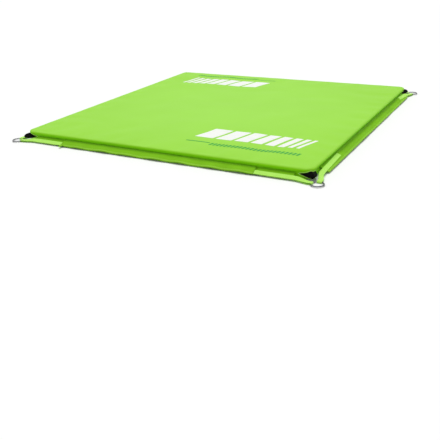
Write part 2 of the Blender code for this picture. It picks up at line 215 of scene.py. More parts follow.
class FloatMatColours(bpy.types.PropertyGroup):
    """Colours of the fabrics, the print and the floor, with painted shade for the pad's side, a
    painted highlight for the deck's middle and a painted reflection in the steel.
    """

    cover: colour_value("Cover", "Coated fabric of the deck", (0.335, 0.735, 0.058))
    # Painted highlight: the deck's fabric is drawn paler and whiter toward its middle, for the soft
    # sheen that the crowned deck catches.
    painted_highlight_cover: colour_value(
        "Painted highlight cover", "The deck's fabric at its middle, a little paler", (0.355, 0.765, 0.078)
    )
    # Painted shade: the cover's own fabric, drawn darker and deeper green for the shade on the pad's
    # side below the crease.
    shaded_wall: colour_value(
        "Wall", "Coated fabric of the pad's side, below the crease", (0.262, 0.735, 0.000)
    )
    skirt: colour_value(
        "Skirt", "Doubled fabric of the skirt and the closure", (0.212, 0.530, 0.009)
    )
    binding: colour_value(
        "Binding", "Tape folded round the skirt's free edge", (0.260, 0.580, 0.030)
    )
    webbing: colour_value("Webbing", "Straps that hold the rings", (0.530, 1.000, 0.150))
    mesh: colour_value("Mesh", "Open mesh of the corner pouches", (0.003, 0.003, 0.003))
    tape: colour_value(
        "Fastening tape", "Hook and loop tapes inside the closure", (0.060, 0.110, 0.025)
    )
    # The steel's own grey, darkened further as a painted reflection of dark surroundings.
    steel: colour_value("Steel", "Polished wire of the rings", (0.150, 0.155, 0.160))
    print_light: colour_value(
        "Light print", "White bars printed on the deck", (0.930, 0.950, 0.900)
    )
    print_dark: colour_value(
        "Green print", "Mid-green dashes and line printed on the deck", (0.035, 0.400, 0.050)
    )
    floor: colour_value("Floor", "Plain pale floor", (0.860, 0.860, 0.860))


def sizes():
    """The sizes that the panel holds."""
    return bpy.context.scene.float_mat_sizes


def colours():
    """The colours that the panel holds."""
    return bpy.context.scene.float_mat_colours


def smooth_share(value, low, high):
    """0 below low and 1 above high, with an even turn between them."""
    share = min(1.0, max(0.0, (value - low) / (high - low)))
    return share * share * (3 - 2 * share)


def spaced(low, high, pitch):
    """Evenly spaced values with both ends, about a pitch apart."""
    steps = max(2, round(abs(high - low) / pitch))
    return [low + (high - low) * step / steps for step in range(steps + 1)]


def drift(x, y, z):
    """A smooth random value between -1 and 1 that belongs to a place."""
    return noise.noise(Vector((x, y, z)))


def turned(point, side):
    """A point that was laid out on the front side, turned to its own side."""
    x, y, z = point
    for _ in range(SIDES.index(side)):
        x, y = -y, x
    return Vector((x, y, z))


def at_corner(corner, out, across, height):
    """A point so far out along a corner's diagonal, so far to one side of it, and at a height."""
    turn = math.pi / 2 * SIDES.index(CORNERS[corner][0]) - math.pi / 4
    x = out * math.cos(turn) - across * math.sin(turn)
    y = out * math.sin(turn) + across * math.cos(turn)
    return Vector((x, y, height))


# Finishes

TAPE_PITCH = 0.0014
PLY_PITCH = 0.0008
RIB_PITCH = 0.0021
TWILL_PITCH = 0.0017
MESH_PITCH = 0.0030


def shader_of(made):
    """The Principled shader of a new material."""
    return made.node_tree.nodes["Principled BSDF"]


def start_finish(kind, roughness, sheen=0.0, metallic=0.0, specular=0.5):
    """A material whose even values are set on its shader's own sockets."""
    made = bpy.data.materials.new(kind)
    made.use_nodes = True
    shader = shader_of(made)
    shader.inputs["Roughness"].default_value = roughness
    shader.inputs["Metallic"].default_value = metallic
    shader.inputs["Sheen Weight"].default_value = sheen
    shader.inputs["Sheen Roughness"].default_value = 0.5
    shader.inputs["Specular IOR Level"].default_value = specular
    return made


def add_node(made, kind, **values):
    """A node with some of its settings and sockets filled in."""
    node = made.node_tree.nodes.new(kind)
    for key, value in values.items():
        if hasattr(node, key):
            setattr(node, key, value)
        else:
            node.inputs[key.replace("_", " ").title()].default_value = value
    return node


def feed(made, value, socket):
    """Give a socket its value: another socket, a number or a colour."""
    if isinstance(value, bpy.types.NodeSocket):
        made.node_tree.links.new(value, socket)
    elif socket.type == "VALUE":
        socket.default_value = value
    else:
        socket.default_value[:3] = tuple(value)


def joined(made, operation, first, second):
    """Two sockets or numbers put together by one step of arithmetic."""
    both = add_node(made, "ShaderNodeMath", operation=operation)
    feed(made, first, both.inputs[0])
    feed(made, second, both.inputs[1])
    return both.outputs["Value"]


def ranged(made, by, reads, gives=(0.0, 1.0), turn="LINEAR"):
    """A socket whose values from one end to another are spread between two others."""
    span = add_node(made, "ShaderNodeMapRange", interpolation_type=turn)
    span.inputs["From Min"].default_value, span.inputs["From Max"].default_value = reads
    span.inputs["To Min"].default_value, span.inputs["To Max"].default_value = gives
    feed(made, by, span.inputs["Value"])
    return span.outputs["Result"]


def shaded(made, colour, by, gives, reads=(0.0, 1.0)):
    """A colour scaled by another socket, whose range of values becomes a range of shades."""
    shade = add_node(made, "ShaderNodeVectorMath", operation="SCALE")
    feed(made, colour, shade.inputs["Vector"])
    feed(made, ranged(made, by, reads, gives), shade.inputs["Scale"])
    return shade.outputs["Vector"]


def mixed(made, share, low, high):
    """Two colours mixed by a socket."""
    both = add_node(made, "ShaderNodeMix", data_type="RGBA")
    ends = [socket for socket in both.inputs if socket.type == "RGBA"]
    feed(made, low, ends[0])
    feed(made, high, ends[1])
    feed(made, share, both.inputs["Factor"])
    return next(socket for socket in both.outputs if socket.type == "RGBA")


def clouds(made, scale, detail=4.0, roughness=0.6):
    """Soft random unevenness that lies fixed on the mat."""
    place = add_node(made, "ShaderNodeTexCoord")
    cloudy = add_node(
        made, "ShaderNodeTexNoise", scale=scale, detail=detail, roughness=roughness
    )
    feed(made, place.outputs["Object"], cloudy.inputs["Vector"])
    return cloudy.outputs["Fac"]


def mottled(made, colour, scale, depth):
    """A colour that drifts a little lighter and darker over the surface."""
    broad = clouds(made, scale, detail=3.0, roughness=0.55)
    return shaded(made, colour, broad, (1 - depth, 1 + depth), reads=(0.3, 0.7))


def bands(made, direction, pitch):
    """Rounded bands across the fabric's own lie, from 0 in the hollows to 1 on the ridges."""
    lie = add_node(made, "ShaderNodeAttribute", attribute_name=THREADS)
    run = WAVE_RUN * (2 if direction == "DIAGONAL" else 1)
    wave = add_node(made, "ShaderNodeTexWave", bands_direction=direction, scale=run / pitch)
    feed(made, lie.outputs["Vector"], wave.inputs["Vector"])
    return wave.outputs["Fac"]


def weave(made, pitch):
    """Threads that cross at right angles, as a height."""
    return joined(made, "MAXIMUM", bands(made, "X", pitch), bands(made, "Y", pitch))


def dressed(made, colour, *bumps):
    """A material with its colour, and bumps laid over each other: height, strength and depth."""
    feed(made, colour, shader_of(made).inputs["Base Color"])
    normal = None
    for height, strength, depth in bumps:
        bump = add_node(made, "ShaderNodeBump", strength=strength, distance=depth)
        feed(made, height, bump.inputs["Height"])
        if normal:
            feed(made, normal, bump.inputs["Normal"])
        normal = bump.outputs["Normal"]
    feed(made, normal, shader_of(made).inputs["Normal"])
    return made


def cover_finish(kind):
    """Lime coated fabric, with painted shade on the pad's side below the crease and a painted
    highlight toward the deck's middle.
    """
    made = start_finish(kind, roughness=0.60, sheen=0.04, specular=0.10)
    place = add_node(made, "ShaderNodeTexCoord").outputs["Object"]
    split = add_node(made, "ShaderNodeSeparateXYZ")
    feed(made, place, split.inputs["Vector"])
    # Above the crease the deck keeps its own colour; below it the pad's side takes the painted
    # shade.
    on_deck = ranged(made, split.outputs["Z"], (CREASE_HEIGHT, RIM_HEIGHT), turn="SMOOTHSTEP")
    middle = add_node(made, "ShaderNodeVectorMath", operation="LENGTH")
    feed(made, place, middle.inputs[0])
    from_corners = (PAD_HALF * 1.25, PAD_HALF * 0.25)
    # Painted highlight: the deck's colour turns paler from its corners toward its middle.
    highlight_share = ranged(made, middle.outputs["Value"], from_corners, turn="SMOOTHSTEP")
    deck = mixed(made, highlight_share, colours().cover, colours().painted_highlight_cover)
    colour = mixed(made, on_deck, colours().shaded_wall, deck)
    colour = mottled(made, colour, scale=2.4, depth=0.02)
    threads = weave(made, sizes().weave_pitch)
    # Painted shade: the weave's hollows are drawn a little darker than its ridges.
    colour = shaded(made, colour, threads, (0.975, 1.005))
    return dressed(made, colour, (threads, 0.3, 0.00010), (clouds(made, 38.0), 0.30, 0.0006))


def fabric_finish(kind, colour, pitch=None):
    """Woven or coated fabric in one colour, with the cover's own weave or another."""
    made = start_finish(kind, roughness=0.68, sheen=0.03, specular=0.08)
    threads = weave(made, pitch or sizes().weave_pitch)
    colour = mottled(made, colour, scale=14.0, depth=0.06)
    # Painted shade: the weave's hollows are drawn darker than its ridges.
    colour = shaded(made, colour, threads, (0.86, 1.04))
    return dressed(made, colour, (threads, 0.6, 0.00020), (clouds(made, 38.0), 0.35, 0.0006))


def webbing_finish(kind):
    """Flat woven strap: a rib along each warp thread, and a slant of twill across them."""
    made = start_finish(kind, roughness=0.58, sheen=0.06, specular=0.14)
    ribs = bands(made, "Y", RIB_PITCH)
    slant = bands(made, "DIAGONAL", TWILL_PITCH)
    height = joined(made, "MULTIPLY", ribs, joined(made, "MAXIMUM", slant, ribs))
    colour = mottled(made, colours().webbing, scale=30.0, depth=0.03)
    # Painted shade: the grooves between the ribs and the twill are drawn darker than their ridges.
    colour = shaded(made, colour, height, (0.88, 1.03))
    return dressed(made, colour, (height, 0.8, 0.0004), (slant, 0.4, 0.0002))


def mesh_finish(kind):
    """Black knitted mesh: threads around small dark holes."""
    made = start_finish(kind, roughness=0.60, specular=0.02)
    lengthwise, crosswise = bands(made, "X", MESH_PITCH), bands(made, "Y", MESH_PITCH)
    holes = joined(made, "MULTIPLY", lengthwise, crosswise)
    colour = mottled(made, colours().mesh, scale=90.0, depth=0.2)
    # Painted shade: the holes are drawn much darker than the threads, for the shade seen through
    # them, and the threads a little lighter.
    colour = shaded(made, colour, holes, (1.3, 0.15), reads=(0.25, 0.45))
    return dressed(made, colour, (joined(made, "SUBTRACT", 1.0, holes), 0.9, 0.0007))


def tape_finish(kind):
    """Hook and loop tape with its rough nap."""
    made = start_finish(kind, roughness=0.92, sheen=0.2, specular=0.08)
    nap = clouds(made, 900.0, detail=2.0)
    colour = shaded(made, colours().tape, nap, (0.6, 1.3), reads=(0.3, 0.7))
    return dressed(made, colour, (nap, 1.0, 0.0006))


def steel_finish(kind):
    """Polished steel wire with faint draw marks."""
    made = start_finish(kind, roughness=0.24, metallic=1.0)
    # Painted reflection: the wire's colour is darkened to stand for the dark surroundings it
    # reflects.
    colour = mottled(made, colours().steel, scale=120.0, depth=0.15)
    return dressed(made, colour, (clouds(made, 260.0), 0.25, 0.0002))


def ink_finish(kind, colour):
    """Screen-print ink that lets the weave show through."""
    made = start_finish(kind, roughness=0.50, specular=0.15)
    threads = weave(made, sizes().weave_pitch)
    colour = mottled(made, colour, scale=40.0, depth=0.02)
    # Painted shade: the weave's hollows darken the ink a little.
    colour = shaded(made, colour, threads, (0.96, 1.0))
    return dressed(made, colour, (threads, 0.4, 0.00010))


# Each finish, with the slot of its pieces and what makes it
FINISHES = {
    "coated_cover": ("cover", cover_finish),
    "light_ink": ("cover", lambda kind: ink_finish(kind, colours().print_light)),
    "green_ink": ("cover", lambda kind: ink_finish(kind, colours().print_dark)),
    "skirt_fabric": ("skirt", lambda kind: fabric_finish(kind, colours().skirt)),
    "edge_tape": ("binding", lambda kind: fabric_finish(kind, colours().binding, TAPE_PITCH)),
    "hem_tape": ("binding", lambda kind: fabric_finish(kind, colours().webbing, TAPE_PITCH)),
    "sewing_thread": ("binding", lambda kind: fabric_finish(kind, colours().webbing, PLY_PITCH)),
    "ribbed_webbing": ("webbing", webbing_finish),
    "open_mesh": ("mesh", mesh_finish),
    "fastening_nap": ("tape", tape_finish),
    "polished_steel": ("steel", steel_finish),
}


# Building meshes. A form is its points, its faces, and where each point lies in the fabric's own
# threads.

# How far on in its threads each point of a tube lies, along it and around it
TUBE_THREADS = (0.002, 0.0007)


def grid_faces(rows, columns, start=0):
    """The quads between rows of numbered points."""
    faces = []
    for i in range(rows - 1):
        for j in range(columns - 1):
            a = start + i * columns + j
            faces.append((a, a + 1, a + columns + 1, a + columns))
    return faces


def rim_places(rows, columns):
    """Row and column of each point along a grid's rim, once round."""
    places = [(0, j) for j in range(columns)] + [(i, columns - 1) for i in range(1, rows)]
    places += [(rows - 1, j) for j in range(columns - 2, -1, -1)]
    return places + [(i, 0) for i in range(rows - 2, 0, -1)]


def numbered_loops(count, around, start=0):
    """The numbers of the points of several loops, one loop after the other."""
    return [list(range(start + i * around, start + (i + 1) * around)) for i in range(count)]


def bridged(loops):
    """The quads from each loop of numbered points to the next."""
    faces = []
    for low, high in zip(loops, loops[1:]):
        faces += zip(low, low[1:] + low[:1], high[1:] + high[:1], high)
    return faces


def gathered(forms):
    """Several forms put together as one."""
    points, faces, threads = [], [], []
    for more_points, more_faces, more_threads in forms:
        start = len(points)
        points += more_points
        faces += [tuple(start + index for index in face) for face in more_faces]
        threads += more_threads
    return points, faces, threads


def run_lengths(points):
    """How far each of a row of points lies along it."""
    steps = np.linalg.norm(np.diff(points, axis=0), axis=1)
    return np.concatenate([[0.0], np.cumsum(steps)])


def thick_sheet(rows, thickness):
    """A sheet with its thickness, from the points of its middle layer."""
    middle = np.array([[tuple(point) for point in row] for row in rows])
    normal = np.cross(np.gradient(middle, axis=0), np.gradient(middle, axis=1))
    normal /= np.maximum(np.linalg.norm(normal, axis=2, keepdims=True), 1e-12)
    upper = (middle + normal * thickness / 2).reshape(-1, 3)
    lower = (middle - normal * thickness / 2).reshape(-1, 3)
    count, width = middle.shape[:2]
    size = count * width
    faces = grid_faces(count, width)
    faces += [face[::-1] for face in grid_faces(count, width, size)]
    rim = [i * width + j for i, j in rim_places(count, width)]
    faces += bridged([rim, [index + size for index in rim]])
    along, across = run_lengths(middle[:, width // 2]), run_lengths(middle[count // 2])
    threads = [(u, v) for u in along for v in across] * 2
    return [tuple(point) for point in np.vstack([upper, lower])], faces, threads


def closed_tube(line, up, sections, around):
    """A tube along a closed line, with an oval section of half a width and depth at each point."""
    points, threads = [], []
    for i, (here, (width, depth)) in enumerate(zip(line, sections)):
        course = (line[(i + 1) % len(line)] - line[i - 1]).normalized()
        rise = (up - course * up.dot(course)).normalized()
        side = course.cross(rise)
        for j in range(around):
            turn = math.tau * j / around
            points.append(here + side * width * math.cos(turn) + rise * depth * math.sin(turn))
            threads.append((i * TUBE_THREADS[0], j * TUBE_THREADS[1]))
    loops = numbered_loops(len(line), around)
    return points, bridged(loops + loops[:1]), threads


def add_piece(name, form, body, kind, *stands_for, sharp=40.0):
    """A new piece of the mat, closed and smooth, that moves with a body and replaces nodes."""
    points, faces, threads = form
    built = bmesh.new()
    corners = [built.verts.new(point) for point in points]
    for face in faces:
        built.faces.new([corners[index] for index in face])
    bmesh.ops.recalc_face_normals(built, faces=built.faces)
    shape = bpy.data.meshes.new(name)
    built.to_mesh(shape)
    built.free()
    lie = shape.attributes.new(THREADS, "FLOAT_VECTOR", "POINT")
    lie.data.foreach_set("vector", [value for u, v in threads for value in (u, v, 0.0)])
    shape.shade_smooth()
    shape.set_sharp_from_angle(angle=math.radians(sharp))
    piece = bpy.data.objects.new(name, shape)
    bpy.context.scene.collection.objects.link(piece)
    slot, make_finish = FINISHES[kind]
    shape.materials.append(bpy.data.materials.get(kind) or make_finish(kind))
    if body:
        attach(piece, body)
    if stands_for:
        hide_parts(*stands_for)
    return piece


def add_sheet(name, rows, thickness, body, kind, node):
    """A new piece of sheet or tape, from the points of its middle layer."""
    return add_piece(name, thick_sheet(rows, thickness), body, kind, node)


# The padded cover

# The sheet that is simulated as cloth to wrinkle the deck, and how far in from the rim and from
# the corners its slack reaches
SHEET_STEPS = 72
SHEET_FRAMES = 20
SHEET_UNEVENNESS = 0.0006
SHEET_WAVES = 9.0
RIM_SLACK = 0.12
CORNER_SLACK = 0.30

# The deck's swell: how many broad and finer waves a metre, and how much the finer ones count
BROAD_WAVES = 2.1
FINE_WAVES = 5.2
FINE_SHARE = 0.5

# The gathers along the deck's edge and the folds that run in from its corners: how many there are
# a metre or a turn, how far in they reach, how deep the folds are, and where all is flat
GATHER_WAVES = 26.0
GATHER_REACH = 0.075
FOLD_TURNS = 11.0
FOLD_DEPTH = 0.0009
FOLD_REACH = 0.170
FOLD_START = 0.045
CALM_RIM = 0.020

# The side's swells: how many a metre, how much deeper near a corner opening, and how far from the
# corner they deepen
SWELL_WAVES = 17.0
SWELL_GATHER = 1.6
SWELL_REACH = 0.16

# How far the seam strays up and down, how often a metre, and the inset and height of the two
# levels that draw its line
SEAM_WANDER = 0.0012
SEAM_WAVES = 7.0
SEAM_LINE = ((SEAM_INSET - 0.0004, SEAM_HEIGHT + 0.0008), (SEAM_INSET + 0.0006, SEAM_HEIGHT))

# How the deck is divided: insets of the close lines at its rim, and steps over its middle
RIM_INSETS = (0.0, 0.0009, 0.0024, 0.0045, 0.008, 0.013, 0.020, 0.028, 0.036)
DECK_STEPS = 92
WALL_STEPS = 8
FOOT_STEPS = 4


def upper_height(inset):
    """Height of the deck's rounded rim at a distance in from the crease."""
    if inset >= EDGE_RADIUS:
        return RIM_HEIGHT
    return CREASE_HEIGHT + math.sqrt(max(0.0, EDGE_RADIUS ** 2 - (EDGE_RADIUS - inset) ** 2))


def rounded(u, v, inset):
    """A place on the square, with its corners drawn round."""
    half = PAD_HALF - inset
    centre = half - max(CORNER_RADIUS - inset, CORNER_RADIUS / 2)
    x, y = abs(u) * half, abs(v) * half
    if x > centre and y > centre:
        dx, dy = x - centre, y - centre
        scale = max(dx, dy) / math.hypot(dx, dy)
        x, y = centre + dx * scale, centre + dy * scale
    return math.copysign(x, u), math.copysign(y, v)


def deck_relief(x, y):
    """Soft broad waves over the deck, small gathers along its edges and folds at its corners."""
    swell = drift(x * BROAD_WAVES + 5.0, y * BROAD_WAVES, 0.0)
    swell += FINE_SHARE * drift(x * FINE_WAVES, y * FINE_WAVES + 9.0, 3.0)
    along, lane = (x, 4.0) if abs(y) > abs(x) else (y, 7.0)
    gather = drift(along * GATHER_WAVES, lane, 1.0)
    dx, dy = PAD_HALF - abs(x), PAD_HALF - abs(y)
    rim, corner = min(dx, dy), math.hypot(dx, dy)
    fold = math.sin(FOLD_TURNS * math.atan2(dy, dx) + 4.0 * corner / CROWN_REACH)
    relief = sizes().deck_undulation * swell
    relief += sizes().edge_pucker * gather * smooth_share(rim, GATHER_REACH, 0.004)
    relief += FOLD_DEPTH * fold * smooth_share(corner, FOLD_REACH, FOLD_START)
    return relief * smooth_share(rim, 0.0, CALM_RIM)


def sewn_sheet():
    """An even sheet of deck fabric, sewn down at its rim, with slack near its rim and corners."""
    lines = np.linspace(-PAD_HALF, PAD_HALF, SHEET_STEPS + 1)
    points = [
        (x, y, SHEET_UNEVENNESS * drift(x * SHEET_WAVES, y * SHEET_WAVES, 1.5))
        for x in lines
        for y in lines
    ]
    shape = bpy.data.meshes.new("deck_sheet")
    shape.from_pydata(points, [], grid_faces(len(lines), len(lines)))
    sheet = bpy.data.objects.new("deck_sheet", shape)
    bpy.context.scene.collection.objects.link(sheet)
    held = sheet.vertex_groups.new(name="held")
    tight = sheet.vertex_groups.new(name="tight")
    for index, (x, y, _) in enumerate(points):
        dx, dy = PAD_HALF - abs(x), PAD_HALF - abs(y)
        rim, corner = min(dx, dy), math.hypot(dx, dy)
        held.add([index], 1.0 if rim < GAP else sizes().foam_hold, "REPLACE")
        slack = max(0.0, 1 - rim / RIM_SLACK) ** 1.5 + max(0.0, 1 - corner / CORNER_SLACK)
        tight.add([index], 1.0 - min(1.0, slack), "REPLACE")
    return sheet


def settled_deck():
    """How high a cloth simulation lifts the deck's fabric off the foam, on an even grid."""
    sheet = sewn_sheet()
    cloth = sheet.modifiers.new("cloth", "CLOTH")
    cloth.point_cache.frame_end = SHEET_FRAMES
    fabric = cloth.settings
    fabric.quality = 5
    fabric.mass = 0.3
    fabric.tension_stiffness = fabric.compression_stiffness = 15.0
    fabric.shear_stiffness = 5.0
    fabric.bending_stiffness = 0.5
    fabric.vertex_group_mass = "held"
    fabric.pin_stiffness = 1.0
    fabric.vertex_group_shrink = "tight"
    fabric.shrink_min = -sizes().fabric_slack
    fabric.shrink_max = 0.0
    fabric.effector_weights.gravity = 0.0
    for step in range(1, SHEET_FRAMES + 1):
        bpy.context.scene.frame_set(step)
    settled = sheet.evaluated_get(bpy.context.evaluated_depsgraph_get()).to_mesh()
    heights = np.array([point.co.z for point in settled.vertices])
    bpy.context.scene.frame_set(1)
    shape = sheet.data
    bpy.data.objects.remove(sheet)
    bpy.data.meshes.remove(shape)
    cap = sizes().wrinkle_cap
    return np.clip(heights, -cap, cap).reshape(SHEET_STEPS + 1, SHEET_STEPS + 1)


def cubic_weights(share):
    """How much each of four neighbours counts, at a share of the way between the middle two."""
    a, b = share * share, share * share * share
    return np.array([-share + 2 * a - b, 2 - 5 * a + 3 * b, share + 4 * a - 3 * b, -a + b]) / 2


def read_smoothly(heights, x, y):
    """The height at any place, read from an even grid along smooth curves."""
    found = []
    for value in (x, y):
        place = (value + PAD_HALF) / (2 * PAD_HALF) * SHEET_STEPS
        cell = min(SHEET_STEPS - 1, max(0, int(place)))
        near = np.clip(np.arange(cell - 1, cell + 3), 0, SHEET_STEPS)
        found.append((near, cubic_weights(place - cell)))
    (rows, down), (columns, across) = found
    return float(down @ heights[np.ix_(rows, columns)] @ across)


def deck_point(u, v, heights):
    """A point of the deck, crowned from its rim to its middle and wrinkled as it settled."""
    inset = PAD_HALF * (1 - max(abs(u), abs(v)))
    x, y = rounded(u, v, 0.0)
    drop = 1.0
    if inset >= EDGE_RADIUS:
        reach = CROWN_REACH - EDGE_RADIUS
        shares = [max(0.0, (CROWN_REACH - PAD_HALF + abs(c)) / reach) for c in (x, y)]
        drop = min(1.0, shares[0] ** 2 + shares[1] ** 2)
    height = upper_height(inset) + CROWN_DROP * (1 - drop)
    sewn = smooth_share(PAD_HALF - max(abs(x), abs(y)), 0.0, 0.012)
    return Vector((x, y, height + deck_relief(x, y) + read_smoothly(heights, x, y) * sewn))


def wall_inset(height):
    """How far in the pad's side lies at a height between its two rounded edges."""
    if height >= SEAM_HEIGHT:
        share = (CREASE_HEIGHT - height) / (CREASE_HEIGHT - SEAM_HEIGHT)
        return max(0.0, SEAM_INSET * share)
    share = (SEAM_HEIGHT - height) / (SEAM_HEIGHT - EDGE_RADIUS)
    return max(FOOT_INSET, SEAM_INSET - (SEAM_INSET - FOOT_INSET) * share)


def wall_swell(along, side, height):
    """How far the fabric swells in and out between its seams, most near the corner openings."""
    low, high = (SEAM_HEIGHT, CREASE_HEIGHT) if height > SEAM_HEIGHT else (0.0, SEAM_HEIGHT)
    free = math.sin(math.pi * min(1.0, max(0.0, (height - low) / (high - low))))
    from_corner = PAD_HALF - abs(along)
    gather = 1 + SWELL_GATHER * smooth_share(from_corner, SWELL_REACH, SWELL_REACH / 2)
    free *= smooth_share(from_corner, VENT_REACH + 0.002, VENT_REACH + 0.030)
    wave = drift(along * SWELL_WAVES, side * 5.0, height * 30.0)
    return sizes().wall_swell * NOISE_GAIN * wave * gather * free


def wall_levels():
    """Inset and height of the pad's side, from the crease down to its flat underside."""
    heights = np.linspace(CREASE_HEIGHT, EDGE_RADIUS, WALL_STEPS + 1)[1:]
    levels = [(wall_inset(height), height) for height in heights]
    levels[3:5] = SEAM_LINE
    for step in range(1, FOOT_STEPS + 1):
        turn = math.pi / 2 * step / FOOT_STEPS
        inset = FOOT_INSET + EDGE_RADIUS * (1 - math.cos(turn))
        levels.append((inset, EDGE_RADIUS * (1 - math.sin(turn))))
    return levels


def graded_lines():
    """Shares across the pad, close together at its edges and even over its middle."""
    outer = [1 - inset / PAD_HALF for inset in RIM_INSETS]
    inner = [outer[-1] * (1 - 2 * step / DECK_STEPS) for step in range(1, DECK_STEPS)]
    return outer + inner + [-share for share in reversed(outer)]


def pad_form():
    """The padded cover: deck, side and underside as one closed form."""
    lines = graded_lines()
    count = len(lines)
    heights = settled_deck()
    points = [deck_point(u, v, heights) for u in lines for v in lines]
    threads = [(point.x, point.y) for point in points]
    edge = [(i, j) for j, i in rim_places(count, count)]
    loops = [[i * count + j for i, j in edge]]
    for inset, height in wall_levels():
        spread = 1 + (PAD_HEIGHT - height + inset) / PAD_HALF
        stray = SEAM_WANDER * smooth_share(height, 0.0, SEAM_HEIGHT)
        stray *= smooth_share(height, PAD_HEIGHT, SEAM_HEIGHT)
        loops.append(list(range(len(points), len(points) + len(edge))))
        for (i, j), start in zip(edge, loops[0]):
            u, v = lines[i], lines[j]
            x, y = rounded(u, v, inset)
            by_y = abs(v) >= abs(u)
            along, side = (x, math.copysign(1, v)) if by_y else (y, math.copysign(2, u))
            x, y = rounded(u, v, inset + wall_swell(along, side, height))
            wander = stray * drift(along * SEAM_WAVES, side * 3.0, 2.0)
            points.append(Vector((x, y, height + wander)))
            threads.append((points[start].x * spread, points[start].y * spread))
    faces = grid_faces(count, count) + bridged(loops) + [tuple(loops[-1])]
    return points, faces, threads


def add_pad():
    """The padded cover."""
    nodes = ("top_cover", "bottom_cover", "foam_core")
    pad = add_piece("padded_cover", pad_form(), "mat", "coated_cover", *nodes, sharp=60.0)
    return pad


# The print on the deck

INK_THICKNESS = 0.0003
INK_LIFT = Vector((0.0, 0.0, 0.0003))
INK_PITCH = 0.005
BAR_WIDTHS = (0.089, 0.076, 0.063, 0.051, 0.041, 0.031, 0.022, 0.015)
BAR_START = 0.098
BAR_GAP = 0.0150
LINE_START = 0.089
LINE_LENGTH = 0.117
DASH_COUNT = 24
DASH_START = 0.212
DASH_PITCH = 0.0172
DASH_WIDTH = 0.0105

# Lowest and highest place of the bars, the line and the dashes, and how far each leans
BAR_SPAN = (-0.527, -0.392, 0.034)
LINE_SPAN = (-0.5895, -0.5825, 0.0015)
DASH_SPAN = (-0.610, -0.584, 0.007)

# Where the back's print lies off the front's, turned half round about the mat's middle
BACK_SHIFT = (0.067, 0.036)


def slanted_bar(left, width, low, high, lean):
    """Corners of an upright bar that leans to the right."""
    right = left + width
    return [(left, low), (right, low), (right + lean, high), (left + lean, high)]


def print_shapes():
    """A plain ornament of graded slanted bars, with a thin line and a row of dashes below it."""
    bars, left = [], BAR_START
    for width in BAR_WIDTHS:
        bars.append(slanted_bar(left, width, *BAR_SPAN))
        left += width + BAR_GAP
    marks = [slanted_bar(LINE_START, LINE_LENGTH, *LINE_SPAN)]
    for step in range(DASH_COUNT):
        marks.append(slanted_bar(DASH_START + step * DASH_PITCH, DASH_WIDTH, *DASH_SPAN))
    return bars, marks


def half_turned(outlines):
    """The same outlines turned half round, for the back's print."""
    return [[(BACK_SHIFT[0] - x, BACK_SHIFT[1] - y) for x, y in outline] for outline in outlines]


def ink_rows(outline, deck):
    """Rows of points just above the deck, between the four corners of a patch of ink."""
    a, b, c, d = [Vector((x, y, 2 * PAD_HEIGHT)) for x, y in outline]
    across = max(2, round((b - a).length / INK_PITCH))
    up = max(2, round((d - a).length / INK_PITCH))
    rows = []
    for i in range(up + 1):
        low, high = a.lerp(d, i / up), b.lerp(c, i / up)
        places = [low.lerp(high, j / across) for j in range(across + 1)]
        rows.append([deck.ray_cast(place, Vector((0, 0, -1)))[0] + INK_LIFT for place in places])
    return rows


def add_ink(name, kind, outlines, deck):
    """Several patches of one ink as one thin piece."""
    forms = []
    for outline in outlines:
        points, faces, _ = thick_sheet(ink_rows(outline, deck), INK_THICKNESS)
        forms.append((points, faces, [(x, y) for x, y, z in points]))
    add_piece(name, gathered(forms), "mat", kind)


def add_print(pad):
    """The white bars and the green line and dashes, at the front and turned round at the back."""
    points = [point.co for point in pad.data.vertices]
    deck = BVHTree.FromPolygons(points, [face.vertices for face in pad.data.polygons])
    bars, marks = print_shapes()
    for end, whites, greens in (
        ("front", bars, marks),
        ("back", half_turned(bars), half_turned(marks)),
    ):
        add_ink(f"{end}_bars", "light_ink", whites, deck)
        add_ink(f"{end}_marks", "green_ink", greens, deck)


# The skirt

STATION_PITCH = 0.008

# How a layer is divided across its slope: evenly, or closer together where a skirt hangs
EVEN_SHARES = (0.0, 0.2, 0.4, 0.6, 0.8, 1.0)
HANGING_SHARES = (0.0, 0.04, 0.09, 0.15, 0.22, 0.31, 0.42, 0.56, 0.72, 0.86, 1.0)

# How far from a strap a skirt is still held straight, and from where on it hangs free
HELD_REACH = 0.004
FREE_REACH = 0.070

# The share of the skirt's width in which it drops from its seam, and its waves: how many fine and
# broad ones a metre, how much the broad ones count, and how far the drop follows them
DROP_SHARE = 0.12
RIPPLE_WAVES = 11.0
SWAY_WAVES = 4.3
SWAY_SHARE = 0.6
DROP_SWAY = 0.4


def skirt_point(along, down, rise):
    """A point of the front skirt: along it, down its slope, and above its middle layer."""
    seam_half = PAD_HALF - SEAM_INSET
    out = seam_half + down * math.cos(SKIRT_SLOPE) + rise * math.sin(SKIRT_SLOPE)
    height = SEAM_HEIGHT - down * math.sin(SKIRT_SLOPE) + rise * math.cos(SKIRT_SLOPE)
    return Vector((along, -out, height))


def skirt_span(side):
    """Where a side's skirt starts and ends along it."""
    if side == "right":
        return -NEAR_SKIRT_END, SKIRT_END
    if side == "left":
        return -SKIRT_END, NEAR_SKIRT_END
    return -SKIRT_END, SKIRT_END


def strap_start(side, end):
    """Where the strap at one end of a side starts, measured from the side's middle."""
    if side == "front":
        return FLAP_HALF + FLAP_CLEARANCE
    near = (side == "right" and end < 0) or (side == "left" and end > 0)
    return PAD_HALF - (NEAR_STRAP_LENGTH if near else SIDE_STRAP_LENGTH)


